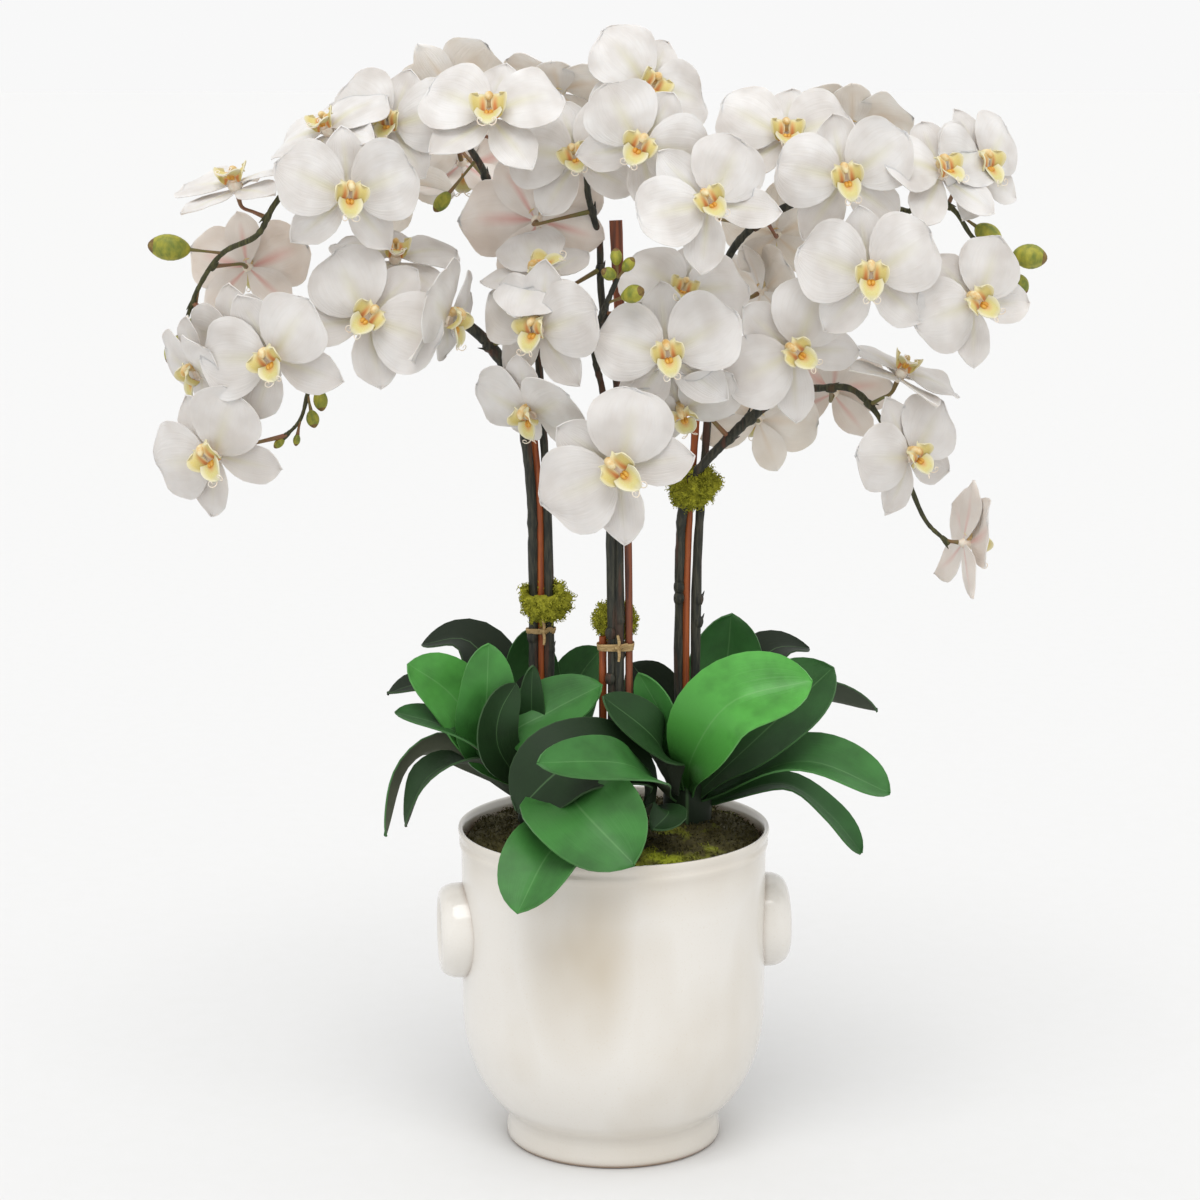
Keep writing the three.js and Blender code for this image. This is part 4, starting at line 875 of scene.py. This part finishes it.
def bud_pattern():
    """A closed bud, unit long and unit wide, pointed at the tip, with three shallow seams."""
    bpy.ops.mesh.primitive_uv_sphere_add(segments=18, ring_count=12, radius=0.5)
    piece = bpy.context.object
    for corner in piece.data.vertices:
        z = corner.co.z
        turn = math.atan2(corner.co.y, corner.co.x)
        slim = 1 - 0.22 * (z / 0.5) ** 2 if z > 0 else 1 - 0.14 * (z / 0.5) ** 2
        seam = 1 - 0.2 * max(0, math.cos(3 * turn)) ** 6
        corner.co.x *= slim * seam
        corner.co.y *= slim * seam
        corner.co.z = z * (1.05 if z > 0 else 1.1)
    piece.data.materials.append(BUD)
    piece.data.materials.append(BUD_TIP)
    for face in piece.data.polygons:
        face.material_index = int(face.center.z > 0.38)
    bpy.ops.object.shade_smooth()
    return piece


def bracts(route, roots):
    """Short dry scales that clasp the stem where a stalk leaves it."""
    made = []
    for root in roots:
        spans = [(Vector(a[:3]), Vector(b[:3]), a[3]) for a, b in zip(route, route[1:])]
        a, b, thick = min(spans, key=lambda s: ((s[0] + s[1]) / 2 - root).length)
        way = (b - a).normalized()
        side = way.orthogonal().normalized() * thick
        made.append(rod([[*(root - way * 4), thick * 1.02], [*(root - way * 1.5), thick * 1.32],
                         [*(root + way * 1.5), thick * 1.28], [*(root + way * 3.5), thick * 0.9]],
                        STEM, roundness=2, steps=2))
        made.append(rod([[*(root + side * 0.9 - way * 1), 1.1], [*(root + side * 1.5 + way * 2.4), 0.8],
                         [*(root + side * 2.0 + way * 5.2), 0.2]], STEM, roundness=1, steps=2))
    return made


def spikes():
    """Main stem, bracts, flower stalks and buds of each spike."""
    bud = bud_pattern()
    for number, (name, (route, buds, open_ones)) in enumerate(SPIKES.items()):
        leaning = bound(route, COLUMN_MIDDLES[number // 2])
        made = [rod(leaning, STEM, roundness=4, steps=9, lump=0.24, seed=number * 7.3)]
        roots = [Vector((route[0][0], route[0][1] - 1, z)) for z in (304 + 17 * number, 352 + 9 * number)]
        for spot in open_ones.values():
            made.append(stalk(route, spot))
            roots.append(nearest_on(route, back_of(spot)[0]))
        made += bracts(route, roots)
        for at, start, long, wide in buds:
            away = Vector(at) - Vector(start)
            turn = away.to_track_quat("Z", "Y").to_matrix().to_4x4()
            turn.translation = at
            made.append(copied(bud, turn @ Matrix.Diagonal((wide, wide, long, 1))))
            foot = Vector(at) - away.normalized() * 0.45 * long
            made.append(rod([[*start, 1.3], [*Vector(start).lerp(foot, 0.5), 1.0], [*foot, 1.6]],
                            STALK, roundness=1, steps=3))
        put(joined(made), name + "_stem", "stem", name)
    drop(bud)


spikes()

# ---------------------------------------------------------------- leaves

# Each rosette: its crown's place and its leaves, each with midrib points, width, the way its face turns and its
# painted light (0 painted shade, 1 painted lit)
ROSETTES = {
    "rosette_left": ((-50.9, 8), [
        ([[-59, 16, 250], [-102, 40, 350], [-137, 46, 347]], 48, [0, -0.35, 1], 0),
        ([[-63, 0, 250], [-88, -14, 289], [-115, -26, 329], [-142, -32, 350]], 50, [0.35, -0.8, 0.5], 0.85),
        ([[-60, -5, 252], [-89, -30, 294], [-87, -42, 334], [-86, -36, 365]], 40, [0.15, -1, 0.15], 0.66),
        ([[-57, -8, 250], [-80, -46, 296], [-78, -55, 321], [-67, -48, 340]], 30, [0.3, -1, 0.1], 0.1),
        ([[-54, -5, 252], [-57, -30, 324], [-56, -28, 348]], 18, [0.1, -1, 0], 0.15),
        ([[-62, 10, 250], [-132, 12, 324], [-159, 8, 320]], 32, [0.2, -0.3, 1], 0),
        ([[-62, 3, 246], [-109, -38, 303], [-150, -46, 319]], 38, [0.2, -0.3, 0.9], 0.35),
        ([[-62, 12, 244], [-122, 2, 282], [-144, -6, 271], [-160, -16, 223]], 30, [-0.7, 0.3, 0.6], 0.4),
        ([[-61, -2, 242], [-103, -28, 279], [-128, -38, 271], [-144, -42, 237]], 42, [-0.35, -0.05, 0.95], 0.1),
        ([[-53, 20, 250], [-58, 40, 330], [-60, 36, 361]], 40, [0, -1, 0.1], 0.3),
        ([[-42, 17, 250], [-25, 48, 321], [-8, 50, 344]], 40, [-0.3, -1, 0.3], 0.4),
        ([[-55, -7, 248], [-75, -34, 296], [-43, -30, 316], [-8, -28, 334]], 46, [-0.1, -0.75, 0.65], 0.6)]),
    "rosette_centre": ((2, -21), [
        ([[26, -24, 244], [14, -54, 284], [-30, -76, 289], [-66, -80, 258]], 66, [0, -0.6, 0.8], 0.05),
        ([[-3, -34, 243], [-27, -97, 270], [13, -135, 236]], 72, [-0.34, -0.5, 0.8], 0.6),
        ([[-5, -33, 238], [-42, -107, 238], [-64, -142, 205]], 58, [-0.25, -0.6, 0.8], 0.6),
        ([[8, -33, 240], [37, -72, 255], [26, -84, 246]], 26, [0.3, -0.5, 0.8], 0.1)]),
    "rosette_right": ((51.5, 8), [
        ([[44, -4, 250], [28, -40, 298], [-8, -46, 330]], 36, [-0.1, -0.5, 0.85], 0.15),
        ([[42, -4, 246], [5, -96, 295], [-51, -125, 303]], 40, [0, -0.7, 0.75], 0.55),
        ([[48, -6, 254], [33, -26, 313], [17, -24, 342]], 28, [-0.6, -0.8, 0.1], 0.6),
        ([[42, 16, 252], [28, 40, 311], [13, 44, 334]], 44, [-0.1, -0.8, 0.6], 0),
        ([[58, 18, 252], [81, 52, 332], [84, 50, 369]], 54, [-0.1, -1, 0.1], 0.5),
        ([[54, -5, 252], [54, -38, 285], [80, -52, 327], [135, -50, 342]], 60, [-0.2, -0.8, 0.6], 1),
        ([[60, 0, 250], [101, -12, 293], [153, -8, 342]], 66, [-0.3, -0.6, 0.8], 0.35),
        ([[61, 14, 252], [112, 50, 341], [141, 64, 341]], 46, [0, -0.3, 1], 0),
        ([[63, 10, 248], [137, 30, 310], [188, 34, 302]], 44, [0, 0.5, 0.9], 0.1),
        ([[61, 2, 244], [132, -30, 280], [190, -44, 261]], 62, [0.1, -0.3, 1], 0.55),
        ([[63, 10, 239], [121, 12, 253], [153, 6, 232], [175, 0, 206]], 32, [0.35, -0.3, 0.85], 0.45)]),
}
LEAF_EDGE = eased(((0, 0.15), (0.12, 0.27), (0.24, 0.5), (0.38, 0.82), (0.5, 0.97), (0.64, 1.0), (0.76, 0.95),
                   (0.87, 0.77), (0.94, 0.52), (0.98, 0.26), (1, 0)))


def leaf(rib, wide, faces, painted_light):
    """A strap leaf set row by row across its midrib, folded up from the crease, with a slow wave along its edges."""
    line = [p.to_3d() for p in smooth_line(rib, 24)]
    walked = [0]
    for a, b in zip(line, line[1:]):
        walked.append(walked[-1] + (b - a).length)
    phase = chance.uniform(0, 6.28)

    def shape(across, along):
        share = 1 - (1 - along) ** 1.35
        reach = share * walked[-1]
        i = max(j for j in range(len(walked) - 1) if walked[j] <= reach)
        part = (reach - walked[i]) / (walked[i + 1] - walked[i])
        middle = line[i].lerp(line[i + 1], part)
        way = (line[min(i + 2, len(line) - 1)] - line[max(i - 1, 0)]).normalized()
        side = way.cross(Vector(faces)).normalized()
        up = side.cross(way).normalized()
        half = reading(LEAF_EDGE, share) * wide / 2
        wave = 1.6 * math.sin(phase + 7 * share) * across ** 2 * math.copysign(1, across)
        return middle + side * across * half + up * (abs(across) ** 1.3 * half * 0.28 + wave)

    piece = blade(10, 20, shape, 1.3, LEAF_TOP, LEAF_BACK)
    mark = piece.data.attributes.new("painted_light", "FLOAT", "POINT")
    for value in mark.data:
        value.value = painted_light
    return piece


def crown(at):
    """The stumpy crown from which the leaves rise, with the wrapped bases of old leaves round it."""
    x, y = at
    bpy.ops.mesh.primitive_cylinder_add(vertices=24, radius=17, depth=30, location=(x, y, 221), end_fill_type="NGON")
    piece = bpy.context.object
    piece.data.transform(piece.matrix_basis)
    piece.matrix_basis = Matrix()
    bpy.ops.object.mode_set(mode="EDIT")
    bpy.ops.mesh.select_all(action="DESELECT")
    bpy.ops.object.mode_set(mode="OBJECT")
    for face in piece.data.polygons:
        face.select = face.normal.z > 0.9
    bpy.ops.object.mode_set(mode="EDIT")
    for rise, shrink in ((8, 1.0), (7, 0.94), (5, 0.8), (2, 0.7)):
        bpy.ops.mesh.extrude_region_move(TRANSFORM_OT_translate={"value": (0, 0, rise)})
        bpy.ops.transform.resize(value=(shrink, shrink, 1))
    bpy.ops.object.mode_set(mode="OBJECT")
    for corner in piece.data.vertices:
        turn = math.atan2(corner.co.y - y, corner.co.x - x)
        wrap = 1 + 0.07 * math.sin(5 * turn + corner.co.z / 9)
        corner.co.x, corner.co.y = x + (corner.co.x - x) * wrap, y + (corner.co.y - y) * wrap
    # Without a painted-light value of its own, the crown takes the painted-shade dark green once joined to the leaves
    piece.data.materials.append(LEAF_TOP)
    closed_up(piece)
    bpy.ops.object.shade_smooth_by_angle(angle=ROUNDED)
    return piece


for rosette_name, (middle_of, leaves) in ROSETTES.items():
    plant = [leaf(*one) for one in leaves] + [crown(middle_of)]
    put(joined(plant), rosette_name + "_leaves", "leaf", rosette_name)

# ---------------------------------------------------------------- raffia


def ribbon(route, width, thick):
    """A flat dry ribbon along a line of places, standing on edge round the column."""
    line = smooth_line(route, 3)
    return swept(line, RAFFIA, [1] * len(line), extrude=width / 2, bevel_depth=thick / 2, bevel_resolution=0)


def tie(name, middle, long, deep, low, high):
    """Three turns of raffia round the rods of a column, knotted in front with loose ends."""
    x, y = middle
    made = []
    knot = (low + high) / 2
    for turn, height in enumerate((low + 1.9, knot, high - 1.9)):
        grow = 0.5 + 0.25 * turn
        half, reach = long / 2 + grow, deep / 2 + grow
        loop = []
        for step in range(17):
            a = 2 * math.pi * step / 16
            c, s = math.cos(a), math.sin(a)
            loop.append([x + half * math.copysign(abs(c) ** 0.45, c), y + reach * math.copysign(abs(s) ** 0.45, s),
                         height + 0.5 * math.sin(a + turn)])
        made.append(ribbon(loop, 1.7, 0.6))
    front = y - deep / 2 - 1.4
    for ends in ([[-2.6, 0, 0], [0, -1.6, 0.4], [2.6, 0, -0.2]], [[0, -0.4, -2.6], [0.2, -2.0, 0], [-0.3, -0.4, 2.8]]):
        made.append(ribbon([[x + 2 + a, front + b, knot + c] for a, b, c in ends], 2.0, 0.7))
    for ends in ([[0, -1, 0], [0.5, -2.2, 4], [-0.6, -2.8, 9.5]], [[0, -1, 0], [0.6, -2.2, -4], [0.2, -2.8, -9]],
                 [[0, -1, 0], [3, -2.4, 2], [6.4, -2.6, 3]]):
        made.append(rod([[x + 2 + a, front + b, knot + c, r] for (a, b, c), r in zip(ends, (1.2, 1.2, 0.9))],
                        RAFFIA, roundness=0, steps=3))
    put(joined(made), name + "_straw", "raffia", name)


tie("raffia_tie_centre", (1.15, -19.55), 23.6, 12.4, 357, 363)
tie("raffia_tie_left", (-50.95, 8), 18.6, 6.7, 363, 368)

# ---------------------------------------------------------------- floor, light and camera

# Wide enough that its end blends into the white behind it
bpy.ops.mesh.primitive_plane_add(size=90, location=(0, 0, 0))
floor = bpy.context.object
floor.name = "studio_floor"
paper, add, lay = finish("studio_paper", Roughness=0.9, Specular_IOR_Level=0.1)
tooth = add("TexNoise", {"Vector": add("TexCoord", gives="Object"), "Scale": 60})
lay(Base_Color=add("Mix", {SHARE: tooth, LOW: colour("#dedede"), HIGH: colour("#dcdcdb")}, **MIX))
floor.data.materials.append(paper)

scene = bpy.context.scene
scene.view_settings.view_transform = "Standard"
world = bpy.data.worlds.new("studio")
world.use_nodes = True
sky = world.node_tree.nodes["Background"].inputs
sky["Color"].default_value, sky["Strength"].default_value = (1, 1, 1, 1), 0.94
scene.world = world

# One broad soft light from above the camera
bpy.ops.object.light_add(type="SUN", location=(-1, -2, 2))
key = bpy.context.object
key.name = "key_light"
key.rotation_euler = Vector((0.05, 0.5, -1)).to_track_quat("-Z", "Y").to_euler()
key.data.energy, key.data.angle = 1.3, math.radians(40)

# The photo's camera looks this many degrees down
LOOKS_DOWN = 10.8
bpy.ops.object.camera_add(location=(-0.0096, -2.0, 0.77), rotation=(math.radians(90 - LOOKS_DOWN), 0, 0))
camera = bpy.context.object
camera.data.sensor_width, camera.data.lens = 36, 87.8
scene.camera = camera
